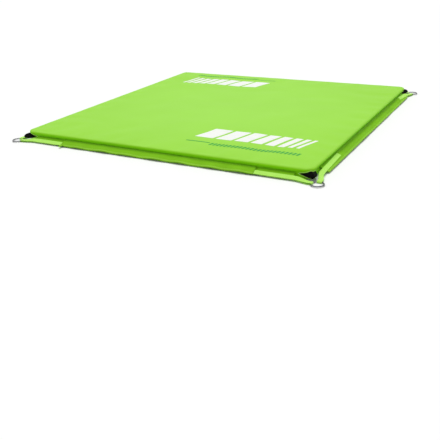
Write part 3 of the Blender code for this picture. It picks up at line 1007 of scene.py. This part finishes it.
def skirt_hang(side):
    """How a plain side's skirt hangs between its straps, as a height at each place on it.

    It drops from its seam, flares out and waves.
    """
    phase = SIDES.index(side) * 1.7
    low, high = -strap_start(side, -1), strap_start(side, 1)

    def lift(along, down):
        free = smooth_share(along, low + HELD_REACH, low + FREE_REACH)
        free *= smooth_share(along, high - HELD_REACH, high - FREE_REACH)
        share = min(1.0, max(0.0, down / SKIRT_WIDTH))
        drop = sizes().skirt_sag * (1 - share) * (1 - math.exp(-share / DROP_SHARE))
        wave = drift(along * RIPPLE_WAVES + phase, phase, 0.0)
        wave += SWAY_SHARE * drift(along * SWAY_WAVES, phase + 5.0, 2.0)
        ripple = sizes().skirt_ripple * NOISE_GAIN * wave * share ** 1.4
        return (ripple - drop * (1 + DROP_SWAY * wave)) * free

    return lift


def downs_to(edge, start=ROOT_DOWN, shares=EVEN_SHARES):
    """Where a layer is divided across its slope."""
    inner = edge - BINDING_WIDTH
    return [start + (inner - start) * share for share in shares] + [(inner + edge) / 2, edge]


def cloth_rows(stations, downs, rise, lift):
    """Rows of points for a layer of the skirt, one row across it at each station."""
    return [[skirt_point(a, d, rise + lift(a, d)) for d in downs] for a in stations]


def binding_rows(stations, layer_thickness, rise, lift):
    """Rows of points for a tape folded around the free edge of a layer."""
    half = layer_thickness / 2 + GAP / 2 + BINDING_THICKNESS / 2
    back, front = SKIRT_WIDTH - BINDING_WIDTH, SKIRT_WIDTH - half
    profile = [(back, half), (front, half)]
    for step in range(1, 6):
        turn = math.pi * step / 6
        profile.append((front + (half + GAP) * math.sin(turn), half * math.cos(turn)))
    profile += [(front, -half), (back, -half)]
    return [
        [skirt_point(a, d, rise + off + lift(a, min(d, SKIRT_WIDTH))) for d, off in profile]
        for a in stations
    ]


def placed(rows, side, mirrored=False):
    """Rows of points turned from the front side to their own side."""
    if mirrored:
        rows = [[Vector((-x, y, z)) for x, y, z in row] for row in rows]
    return [[turned(point, side) for point in row] for row in rows]


def add_skirt(side):
    """The skirt of a plain side, with the tape folded around its edge."""
    start, end = skirt_span(side)
    stations = spaced(start, end, STATION_PITCH)
    lift = skirt_hang(side)
    downs = downs_to(SKIRT_WIDTH, shares=HANGING_SHARES)
    rows = placed(cloth_rows(stations, downs, 0.0, lift), side)
    cloth = add_sheet(
        f"skirt_cloth_{side}", rows, SKIRT_THICKNESS, "mat", "skirt_fabric", f"skirt_{side}"
    )
    rows = placed(binding_rows(stations, SKIRT_THICKNESS, 0.0, lift), side)
    node = f"skirt_binding_{side}"
    tape = add_sheet(f"skirt_edge_{side}", rows, BINDING_THICKNESS, "mat", "edge_tape", node)


# The closure

# The closure's waves: how long the main and the slow ones are, where the main ones start, and how
# far the cloth is lifted in all, by the waves, and by small folds
WAVE_LENGTH = 0.137
SLOW_WAVE_LENGTH = 0.315
SLOW_WAVE_SHARE = 0.45
WAVE_START = 0.013
WAVE_FADE = 0.060
CLOSURE_LIFT = 0.0008
WAVE_LIFT = 0.0034
FOLD_LIFT = 0.0014
FOLD_WAVES = 24.0

# The pull tab: how far it lies on the flap and where it bends, and its loop: how far each point
# lies beyond the flap, and above its middle
TAB_OVERLAP = 0.007
TAB_BEND = 0.002
TAB_LOOP = (
    (0.0060, 0.0019),
    (0.0110, 0.0024),
    (0.0135, 0.0013),
    (0.0140, 0.0),
    (0.0130, -0.0011),
    (0.0095, -0.0016),
    (0.0050, -0.0012),
    (0.0015, -0.0009),
)


def closure_wave(along, down):
    """How the closure's folds lift its fabric: nothing at the seam, most at the free edge."""
    fade = smooth_share(FLAP_HALF - abs(along), GAP, WAVE_FADE)
    share = max(0.0, down / SKIRT_WIDTH) ** 1.3
    wave = math.sin(math.tau * (along + WAVE_START) / WAVE_LENGTH)
    wave += SLOW_WAVE_SHARE * math.sin(math.tau * along / SLOW_WAVE_LENGTH)
    fold = drift(along * FOLD_WAVES, 3.0, 8.0)
    lift = CLOSURE_LIFT + WAVE_LIFT * wave / (1 + SLOW_WAVE_SHARE) + FOLD_LIFT * fold
    return fade * share * lift


def lip_row(along):
    """A row of points across the lip, low under the flap and level with the skirt beside it."""
    depth = smooth_share(FLAP_HALF + LIP_CLIMB - abs(along), 0.0, LIP_CLIMB)
    beside = smooth_share(abs(along) - FLAP_HALF, -LIP_BINDING_SETBACK, 0.0)
    downs = downs_to(SKIRT_WIDTH - LIP_SETBACK * beside, LIP_ROOT_SETBACK * depth + ROOT_DOWN)
    return [skirt_point(along, d, closure_wave(along, d) - LAYER_GAP * depth) for d in downs]


def add_closure():
    """The fixed lip, the flap over it, and their tapes and edge bindings."""
    inner = spaced(-FLAP_HALF, FLAP_HALF, STATION_PITCH)
    outer = spaced(FLAP_HALF, SKIRT_END, STATION_PITCH)[1:]
    rows = [lip_row(a) for a in [-a for a in reversed(outer)] + inner + outer]
    lip = add_sheet("lip_cloth", rows, FLAP_THICKNESS, "mat", "skirt_fabric", "closure_lip")

    rows = cloth_rows(inner, downs_to(SKIRT_WIDTH, FLAP_ROOT_DOWN), LAYER_GAP, closure_wave)
    flap = add_sheet("flap_cloth", rows, FLAP_THICKNESS, "flap", "skirt_fabric", "closure_flap")
    rows = binding_rows(inner, FLAP_THICKNESS, LAYER_GAP, closure_wave)
    edge = add_sheet("flap_edge", rows, BINDING_THICKNESS, "flap", "edge_tape", "flap_binding")

    bound = [a for a in inner if abs(a) < FLAP_HALF - LIP_BINDING_SETBACK - WAVE_FADE / 2]
    rows = binding_rows(bound, FLAP_THICKNESS, -LAYER_GAP, closure_wave)
    lip_edge = add_sheet("lip_edge", rows, BINDING_THICKNESS, "mat", "edge_tape", "lip_binding")

    taped = [a for a in inner if abs(a) < FLAP_HALF - TAPE_SETBACK - WAVE_FADE / 2]
    start = (SKIRT_WIDTH - BINDING_WIDTH - TAPE_WIDTH) / 2
    downs = [start + TAPE_WIDTH * k / 4 for k in range(5)]
    off = (TAPE_THICKNESS + GAP) / 2
    for name, body, rise, node in (
        ("loop_nap", "flap", off, "loop_tape"),
        ("hook_nap", "mat", -off, "hook_tape"),
    ):
        rows = cloth_rows(taped, downs, rise, closure_wave)
        add_sheet(name, rows, TAPE_THICKNESS, body, "fastening_nap", node)


def add_pull_tab():
    """A short loop of tape at the flap's left end, to pull it open by."""
    top = LAYER_GAP + FLAP_THICKNESS / 2 + GAP + BINDING_THICKNESS + GAP + TAB_THICKNESS / 2
    edge = SKIRT_WIDTH + 2 * GAP + BINDING_THICKNESS
    path = [(SKIRT_WIDTH - TAB_OVERLAP, top), (SKIRT_WIDTH - TAB_BEND, top)]
    path.append((edge + TAB_BEND / 2, top - GAP))
    for reach, off in TAB_LOOP:
        path.append((edge + reach, LAYER_GAP + reach * math.tan(SKIRT_SLOPE) + off))
    across = [TAB_PLACE - FLAP_HALF + TAB_WIDTH * (k / 4 - 0.5) for k in range(5)]
    rows = [[skirt_point(along, down, rise) for along in across] for down, rise in path]
    add_sheet("pull_loop", rows, TAB_THICKNESS, "flap", "edge_tape", "pull_tab")


# Webbing and rings

TWIST_PITCH = 0.0022
NOSE_STEPS = 12
STRAP_SHARES = [step / 6 - 1 for step in range(13)]
RING_STEPS = 96
RING_SIDES = 16
WELD_SWELL = 0.10
WELD_DEGREES = 3.2


def strap_lane(side, start):
    """How far down the skirt's slope a strap's middle lies, at each place along it.

    The front's straps follow the skirt's edge. The others slant outward from their sewn end.
    """
    half = WEBBING_WIDTH / 2
    if side == "front":
        return lambda along: SKIRT_WIDTH - FRONT_STRAP_SETBACK - half

    def down(along):
        share = min(1.0, (along - start) / (TWIST_START - start))
        return SKIRT_WIDTH - SIDE_STRAP_SETBACK - half + SIDE_STRAP_SLANT * (2 * share - 1)

    return down


def strap_centre(along, leg, lane):
    """Middle of the strap at a place along it, on its upper or lower leg."""
    on_skirt = skirt_point(along, lane(along), leg * LEG_RISE)
    at_ring = Vector((along, -RING_REACH, RING_HEIGHT + leg * EYE_RADIUS))
    return on_skirt.lerp(at_ring, smooth_share(along, TWIST_START, TWIST_END))


def strap_row(along, leg, lane):
    """The strap from edge to edge at a place along it. It lies square to its own course."""
    centre = strap_centre(along, leg, lane)
    course = strap_centre(along + GAP, leg, lane) - strap_centre(along - GAP, leg, lane)
    course.normalize()
    slope = SKIRT_SLOPE * (1 - smooth_share(along, TWIST_START, TWIST_END))
    width = Vector((0, -math.cos(slope), -math.sin(slope)))
    width = (width - course * width.dot(course)).normalized() * WEBBING_WIDTH / 2
    return [centre + width * share for share in STRAP_SHARES]


def strap_rows(start, lane):
    """Rows of points for a strap along the front side that ends around the right-hand ring."""
    half = WEBBING_WIDTH / 2
    nose = RING_REACH - math.sqrt((RING_BORE / 2) ** 2 - half ** 2) - RING_WIRE / 2 + GAP
    twist = spaced(TWIST_START, TWIST_END, TWIST_PITCH)
    upper = spaced(start, TWIST_START, STATION_PITCH)[:-1] + twist
    lower = spaced(TWIST_START, start + LOWER_LEG_SETBACK, STATION_PITCH)[1:]
    rows = [strap_row(a, 1, lane) for a in upper]
    for step in range(NOSE_STEPS + 1):
        turn = math.pi / 2 - math.pi * step / NOSE_STEPS
        out, height = nose + EYE_RADIUS * math.cos(turn), RING_HEIGHT + EYE_RADIUS * math.sin(turn)
        rows.append([Vector((out, -RING_REACH - half * share, height)) for share in STRAP_SHARES])
    return rows + [strap_row(a, -1, lane) for a in twist[::-1] + lower]


def strap_ends():
    """Each strap's corner, side, direction along the side, and start."""
    for corner, (first, second) in CORNERS.items():
        yield corner, first, 1, strap_start(first, 1)
        yield corner, second, -1, strap_start(second, -1)


def add_strap(corner, side, direction, start):
    """A length of webbing folded through its ring."""
    rows = placed(strap_rows(start, strap_lane(side, start)), side, mirrored=direction < 0)
    name, node = f"webbing_{corner}_{side}", f"strap_{corner}_{side}"
    strap = add_sheet(name, rows, WEBBING_THICKNESS, None, "ribbed_webbing", node)
    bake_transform(strap)


def add_ring(corner):
    """A round ring of polished wire, closed by a small weld."""
    line, sections = [], []
    for i in range(RING_STEPS):
        turn = math.tau * i / RING_STEPS
        out, across = RING_OUT + RING_RADIUS * math.cos(turn), RING_RADIUS * math.sin(turn)
        line.append(at_corner(corner, out, across, RING_HEIGHT))
        weld = math.exp(-(((math.degrees(turn) - 90) / WELD_DEGREES) ** 2))
        sections.append([RING_WIRE / 2 * (1 + WELD_SWELL * weld)] * 2)
    form = closed_tube(line, Vector((0, 0, 1)), sections, RING_SIDES)
    node = f"ring_{corner}"
    add_piece(f"wire_ring_{corner}", form, node, "polished_steel", node, sharp=180.0)


# Corner openings

POUCH_AROUND = 64
POUCH_DEEP = 18
POUCH_ROUNDNESS = 0.62
POUCH_FOLD = 0.08
POUCH_SUNK = 0.0006
HEM_STEPS = 96
HEM_SIDES = 8
HEM_GROWTH = 0.0020
HEM_LIFT = 0.0010
HEM_SECTION = (0.0026, 0.0012)


def corner_reach(across, height):
    """Distance of the pad's side from the middle of the mat, along a corner's diagonal."""
    inset = wall_inset(height)
    half = PAD_HALF - inset
    radius = max(CORNER_RADIUS - inset, CORNER_RADIUS / 2)
    if abs(across) < radius / math.sqrt(2):
        return (half - radius) * math.sqrt(2) + math.sqrt(radius ** 2 - across ** 2)
    return half * math.sqrt(2) - abs(across)


def kite_edge(turn):
    """The point of a corner opening's kite-shaped edge in one direction from its middle."""
    across, up = math.cos(turn), math.sin(turn)
    run = VENT_TOP - VENT_MIDDLE if up > 0 else VENT_MIDDLE - VENT_BOTTOM
    share = abs(across) * math.sqrt(2) / VENT_REACH + abs(up) / run
    return across / share, up / share


def pouch_point(turn, share, corner):
    """A point of the pouch: from the opening's edge, where share is 1, to its tip."""
    across, up = kite_edge(turn)
    across, height = across * share, VENT_MIDDLE + up * share
    swell = POUCH_REACH * max(0.0, 1 - share * share) ** POUCH_ROUNDNESS
    fold = POUCH_FOLD * math.sin(5 * turn + 3 * share) * math.sin(math.pi * share) * share
    out = corner_reach(across, height) + swell * (1 + fold) - POUCH_SUNK * share
    return at_corner(corner, out, across, height)


def pouch_form(corner):
    """The bagged mesh of a corner, closed over its opening. Its threads are laid from its tip."""
    shares = [math.sin(math.pi / 2 * (1 - step / POUCH_DEEP)) for step in range(POUCH_DEEP)]
    lines, reaches = [], []
    for k in range(POUCH_AROUND):
        turn = math.tau * k / POUCH_AROUND
        line = [pouch_point(turn, share, corner) for share in shares + [0.0]]
        lines.append(line)
        reaches.append([
            (reach * math.cos(turn), reach * math.sin(turn))
            for reach in run_lengths(line[::-1])[::-1]
        ])
    points = [line[step] for step in range(POUCH_DEEP) for line in lines] + [lines[0][-1]]
    threads = [reach[step] for step in range(POUCH_DEEP) for reach in reaches] + [(0.0, 0.0)]
    loops = numbered_loops(POUCH_DEEP, POUCH_AROUND)
    last, tip = loops[-1], len(points) - 1
    faces = bridged(loops) + [(a, b, tip) for a, b in zip(last, last[1:] + last[:1])]
    return points, faces + [tuple(loops[0])], threads


def hem_form(corner):
    """The flat hem around a corner's opening."""
    line, out = [], at_corner(corner, 1.0, 0.0, 0.0)
    for k in range(HEM_STEPS):
        turn = math.tau * k / HEM_STEPS
        grow = 1 + HEM_GROWTH / math.hypot(*kite_edge(turn))
        line.append(pouch_point(turn, grow, corner) + out * HEM_LIFT)
    return closed_tube(line, out, [HEM_SECTION] * HEM_STEPS, HEM_SIDES)


def add_pouch(corner):
    """The pouch of black mesh that bags out of a corner, and the hem around its opening."""
    name, node = f"mesh_pouch_{corner}", f"drain_mesh_{corner}"
    pouch = add_piece(name, pouch_form(corner), "mat", "open_mesh", node)
    name, node = f"opening_hem_{corner}", f"drain_hem_{corner}"
    add_piece(name, hem_form(corner), "mat", "hem_tape", node, sharp=180.0)


# Stitching

SEAM_PITCH = 0.006
SKIRT_SEAM_DOWN = 0.0065
FLAP_SEAM_DOWN = 0.0070
BINDING_SEAM_SETBACK = 0.0058
SEAM_END = 0.004
SEAM_CLEAR_OF_TAB = 0.014
BOX_INSET = 0.0025
BOX_START = 0.004
BOX_END = 0.032

# A stitch's section: how many sides it has, how flat it lies, and its places and thicknesses
STITCH_SIDES = 6
STITCH_FLATNESS = 0.7
STITCH_PROFILE = ((-0.5, 0.35), (-0.3, 1.0), (0.3, 1.0), (0.5, 0.35))


def stitches(line, facing):
    """The form of a row of stitches along a line, lying on a surface that faces one way."""
    points, faces = [], []
    steps = [(b - a).length for a, b in zip(line, line[1:])]
    total = sum(steps)
    length, radius = sizes().stitch_length, sizes().thread_radius
    place, index, passed = sizes().stitch_pitch / 2, 0, 0.0
    while place + length < total:
        while passed + steps[index] < place + length / 2:
            passed += steps[index]
            index += 1
        share = (place + length / 2 - passed) / steps[index]
        centre = line[index].lerp(line[index + 1], share)
        course = (line[index + 1] - line[index]).normalized()
        up = (facing - course * facing.dot(course)).normalized()
        side = course.cross(up)
        loops = numbered_loops(len(STITCH_PROFILE), STITCH_SIDES, len(points))
        for offset, thick in STITCH_PROFILE:
            for k in range(STITCH_SIDES):
                turn = math.tau * k / STITCH_SIDES
                ring = side * math.cos(turn) + up * math.sin(turn) * STITCH_FLATNESS
                points.append(centre + course * offset * length + ring * radius * thick)
        faces += bridged(loops) + [tuple(loops[0][::-1]), tuple(loops[-1])]
        place += sizes().stitch_pitch
    return points, faces, [(0.0, 0.0)] * len(points)


def add_stitching(name, lines, body):
    """One piece that holds several rows of stitches."""
    form = gathered(stitches(line, facing) for line, facing in lines)
    add_piece(name, form, body, "sewing_thread", sharp=180.0)


def skirt_line(side, start, end, down, rise, lift):
    """A line along a side's skirt at one place across it, and which way the skirt faces."""
    rows = cloth_rows(spaced(start, end, SEAM_PITCH), [down], rise, lift)
    return [turned(row[0], side) for row in rows], turned(SKIRT_UP, side)


def box_lines(side, direction, start):
    """The sewn box with its cross that fastens the start of a strap to the skirt."""
    lane, half = strap_lane(side, start), WEBBING_WIDTH / 2 - BOX_INSET
    low, high = start + BOX_START, start + BOX_END
    rise = LEG_RISE + WEBBING_THICKNESS / 2
    corners = [(low, lane(low) - half), (high, lane(high) - half)]
    corners += [(high, lane(high) + half), (low, lane(low) + half)]
    runs = [(corners[k], corners[(k + 1) % 4]) for k in range(4)]
    runs += [(corners[0], corners[2]), (corners[1], corners[3])]
    lines = []
    for (a, b), (c, d) in runs:
        places = [(a + (c - a) * k / 8, b + (d - b) * k / 8) for k in range(9)]
        line = [skirt_point(direction * along, down, rise) for along, down in places]
        lines.append(([turned(point, side) for point in line], turned(SKIRT_UP, side)))
    return lines


def add_seams():
    """The rows of stitches on the skirt, the closure and the straps."""
    edge_down, tape_rise = SKIRT_WIDTH - BINDING_SEAM_SETBACK, GAP / 2 + BINDING_THICKNESS
    for side in PLAIN_SIDES:
        start, end = skirt_span(side)
        low, high = SEAM_END - strap_start(side, -1), strap_start(side, 1) - SEAM_END
        top, lift = SKIRT_THICKNESS / 2, skirt_hang(side)
        lines = [
            skirt_line(side, low, high, SKIRT_SEAM_DOWN, top, lift),
            skirt_line(side, start + SEAM_END, end - SEAM_END, edge_down, top + tape_rise, lift),
        ]
        add_stitching(f"skirt_stitches_{side}", lines, "mat")
    top, end = LAYER_GAP + FLAP_THICKNESS / 2, FLAP_HALF - SEAM_END
    start = SEAM_CLEAR_OF_TAB - end
    lines = [
        skirt_line("front", -end, end, FLAP_SEAM_DOWN, top, closure_wave),
        skirt_line("front", start, end, edge_down, top + tape_rise, closure_wave),
    ]
    add_stitching("flap_stitches", lines, "flap")
    lines = []
    for _, side, direction, start in strap_ends():
        lines += box_lines(side, direction, start)
    add_stitching("strap_stitches", lines, "mat")


# Stage

FLOOR_RADIUS = 60
FLOOR_HEIGHT = -0.0006
AMBIENT = 0.50
SUN_STRENGTH = 1.65
SUN_WIDTH = math.radians(40)
SUN_TILT = (math.radians(-9), math.radians(-7), 0.0)

# Where the photograph was taken from: the camera's place, its azimuth, elevation and roll in
# degrees, and its lens in millimetres
CAMERA_PLACE = Vector((1.4771, -2.7536, 0.8401))
CAMERA_TURNS = (29.723, 24.679, -2.642)
CAMERA_LENS = 50.09


def seen_directly(made):
    """1 for the rays that show a surface straight, mirrored or through glass, and 0 for others."""
    path = add_node(made, "ShaderNodeLightPath")
    seen = path.outputs["Is Camera Ray"]
    for ray in ("Is Glossy Ray", "Is Transmission Ray"):
        seen = joined(made, "MAXIMUM", seen, path.outputs[ray])
    return seen


def add_floor():
    """A wide plain floor that looks white and keeps the mat's shadow."""
    bpy.ops.mesh.primitive_circle_add(
        vertices=96, radius=FLOOR_RADIUS, fill_type="NGON", location=(0, 0, FLOOR_HEIGHT)
    )
    floor = bpy.context.object
    floor.name = "floor"
    made = start_finish("pale_floor", roughness=0.9, specular=0.0)
    colour = mixed(made, seen_directly(made), colours().floor, (1.0, 1.0, 1.0))
    feed(made, colour, shader_of(made).inputs["Base Color"])
    floor.data.materials.append(made)


def light_world():
    """An even pale surround that looks white and lights the mat softly."""
    world = bpy.data.worlds.new("studio")
    world.use_nodes = True
    bpy.context.scene.world = world
    background = world.node_tree.nodes["Background"]
    background.inputs["Color"].default_value = (1.0, 1.0, 1.0, 1.0)
    strength = ranged(world, seen_directly(world), (0.0, 1.0), (AMBIENT, 1.0))
    feed(world, strength, background.inputs["Strength"])


def add_lamp():
    """One broad soft key light from above and behind the left."""
    key = bpy.data.lights.new("key", "SUN")
    key.energy = SUN_STRENGTH
    key.angle = SUN_WIDTH
    lamp = bpy.data.objects.new("key", key)
    lamp.rotation_euler = SUN_TILT
    bpy.context.scene.collection.objects.link(lamp)


def add_camera():
    """A camera where the photograph was taken from."""
    data = bpy.data.cameras.new("camera")
    data.sensor_width = 36.0
    data.lens = CAMERA_LENS
    azimuth, elevation, roll = [math.radians(value) for value in CAMERA_TURNS]
    camera = bpy.data.objects.new("camera", data)
    camera.matrix_world = (
        Matrix.Translation(CAMERA_PLACE)
        @ Matrix.Rotation(azimuth, 4, "Z")
        @ Matrix.Rotation(math.pi / 2 - elevation, 4, "X")
        @ Matrix.Rotation(roll, 4, "Z")
    )
    bpy.context.scene.collection.objects.link(camera)
    bpy.context.scene.camera = camera


class FLOATMAT_OT_cover(bpy.types.Operator):
    """Build the padded cover and the print on its deck"""

    bl_idname = "floatmat.cover"
    bl_label = "Padded cover and print"

    def execute(self, context):
        add_print(add_pad())
        return {"FINISHED"}


class FLOATMAT_OT_skirts(bpy.types.Operator):
    """Build the skirt of the three plain sides"""

    bl_idname = "floatmat.skirts"
    bl_label = "Skirts"

    def execute(self, context):
        for side in PLAIN_SIDES:
            add_skirt(side)
        return {"FINISHED"}


class FLOATMAT_OT_closure(bpy.types.Operator):
    """Build the closure along the front side"""

    bl_idname = "floatmat.closure"
    bl_label = "Closure"

    def execute(self, context):
        add_closure()
        add_pull_tab()
        return {"FINISHED"}


class FLOATMAT_OT_pouches(bpy.types.Operator):
    """Build the mesh pouches and their hems at the corners"""

    bl_idname = "floatmat.pouches"
    bl_label = "Corner pouches"

    def execute(self, context):
        for corner in CORNERS:
            add_pouch(corner)
        return {"FINISHED"}


class FLOATMAT_OT_straps(bpy.types.Operator):
    """Build the two webbing straps at each corner"""

    bl_idname = "floatmat.straps"
    bl_label = "Straps"

    def execute(self, context):
        for strap in strap_ends():
            add_strap(*strap)
        return {"FINISHED"}


class FLOATMAT_OT_rings(bpy.types.Operator):
    """Build the steel rings"""

    bl_idname = "floatmat.rings"
    bl_label = "Rings"

    def execute(self, context):
        for corner in CORNERS:
            add_ring(corner)
        return {"FINISHED"}


class FLOATMAT_OT_seams(bpy.types.Operator):
    """Sew the rows of stitches"""

    bl_idname = "floatmat.seams"
    bl_label = "Stitching"

    def execute(self, context):
        add_seams()
        return {"FINISHED"}


class FLOATMAT_OT_stage(bpy.types.Operator):
    """Set up the floor, the light and the camera"""

    bl_idname = "floatmat.stage"
    bl_label = "Floor, light and camera"

    def execute(self, context):
        context.scene.view_settings.view_transform = "Standard"
        add_floor()
        light_world()
        add_lamp()
        add_camera()
        return {"FINISHED"}


class FLOATMAT_PT_panel(bpy.types.Panel):
    """Lists the steps that build the mat"""

    bl_label = "Float mat"
    bl_idname = "FLOATMAT_PT_panel"
    bl_space_type = "VIEW_3D"
    bl_region_type = "UI"
    bl_category = "Float mat"

    def draw(self, context):
        layout = self.layout
        for step in STEPS:
            layout.operator(step.bl_idname)
        for group in (context.scene.float_mat_sizes, context.scene.float_mat_colours):
            box = layout.box()
            for key in group.__annotations__:
                box.prop(group, key)


STEPS = (
    FLOATMAT_OT_cover,
    FLOATMAT_OT_skirts,
    FLOATMAT_OT_closure,
    FLOATMAT_OT_pouches,
    FLOATMAT_OT_straps,
    FLOATMAT_OT_rings,
    FLOATMAT_OT_seams,
    FLOATMAT_OT_stage,
)
CLASSES = (FloatMatSizes, FloatMatColours, *STEPS, FLOATMAT_PT_panel)


def register():
    """Add the panel, its steps and its values to Blender."""
    for item in CLASSES:
        bpy.utils.register_class(item)
    bpy.types.Scene.float_mat_sizes = bpy.props.PointerProperty(type=FloatMatSizes)
    bpy.types.Scene.float_mat_colours = bpy.props.PointerProperty(type=FloatMatColours)


def unregister():
    """Take them away again."""
    del bpy.types.Scene.float_mat_colours
    del bpy.types.Scene.float_mat_sizes
    for item in reversed(CLASSES):
        bpy.utils.unregister_class(item)


def main():
    """Build the whole mat and its stage."""
    register()
    bpy.ops.floatmat.cover()
    bpy.ops.floatmat.skirts()
    bpy.ops.floatmat.closure()
    bpy.ops.floatmat.pouches()
    bpy.ops.floatmat.straps()
    bpy.ops.floatmat.rings()
    bpy.ops.floatmat.seams()
    bpy.ops.floatmat.stage()
    bpy.context.view_layer.update()


if __name__ == "__main__":
    main()
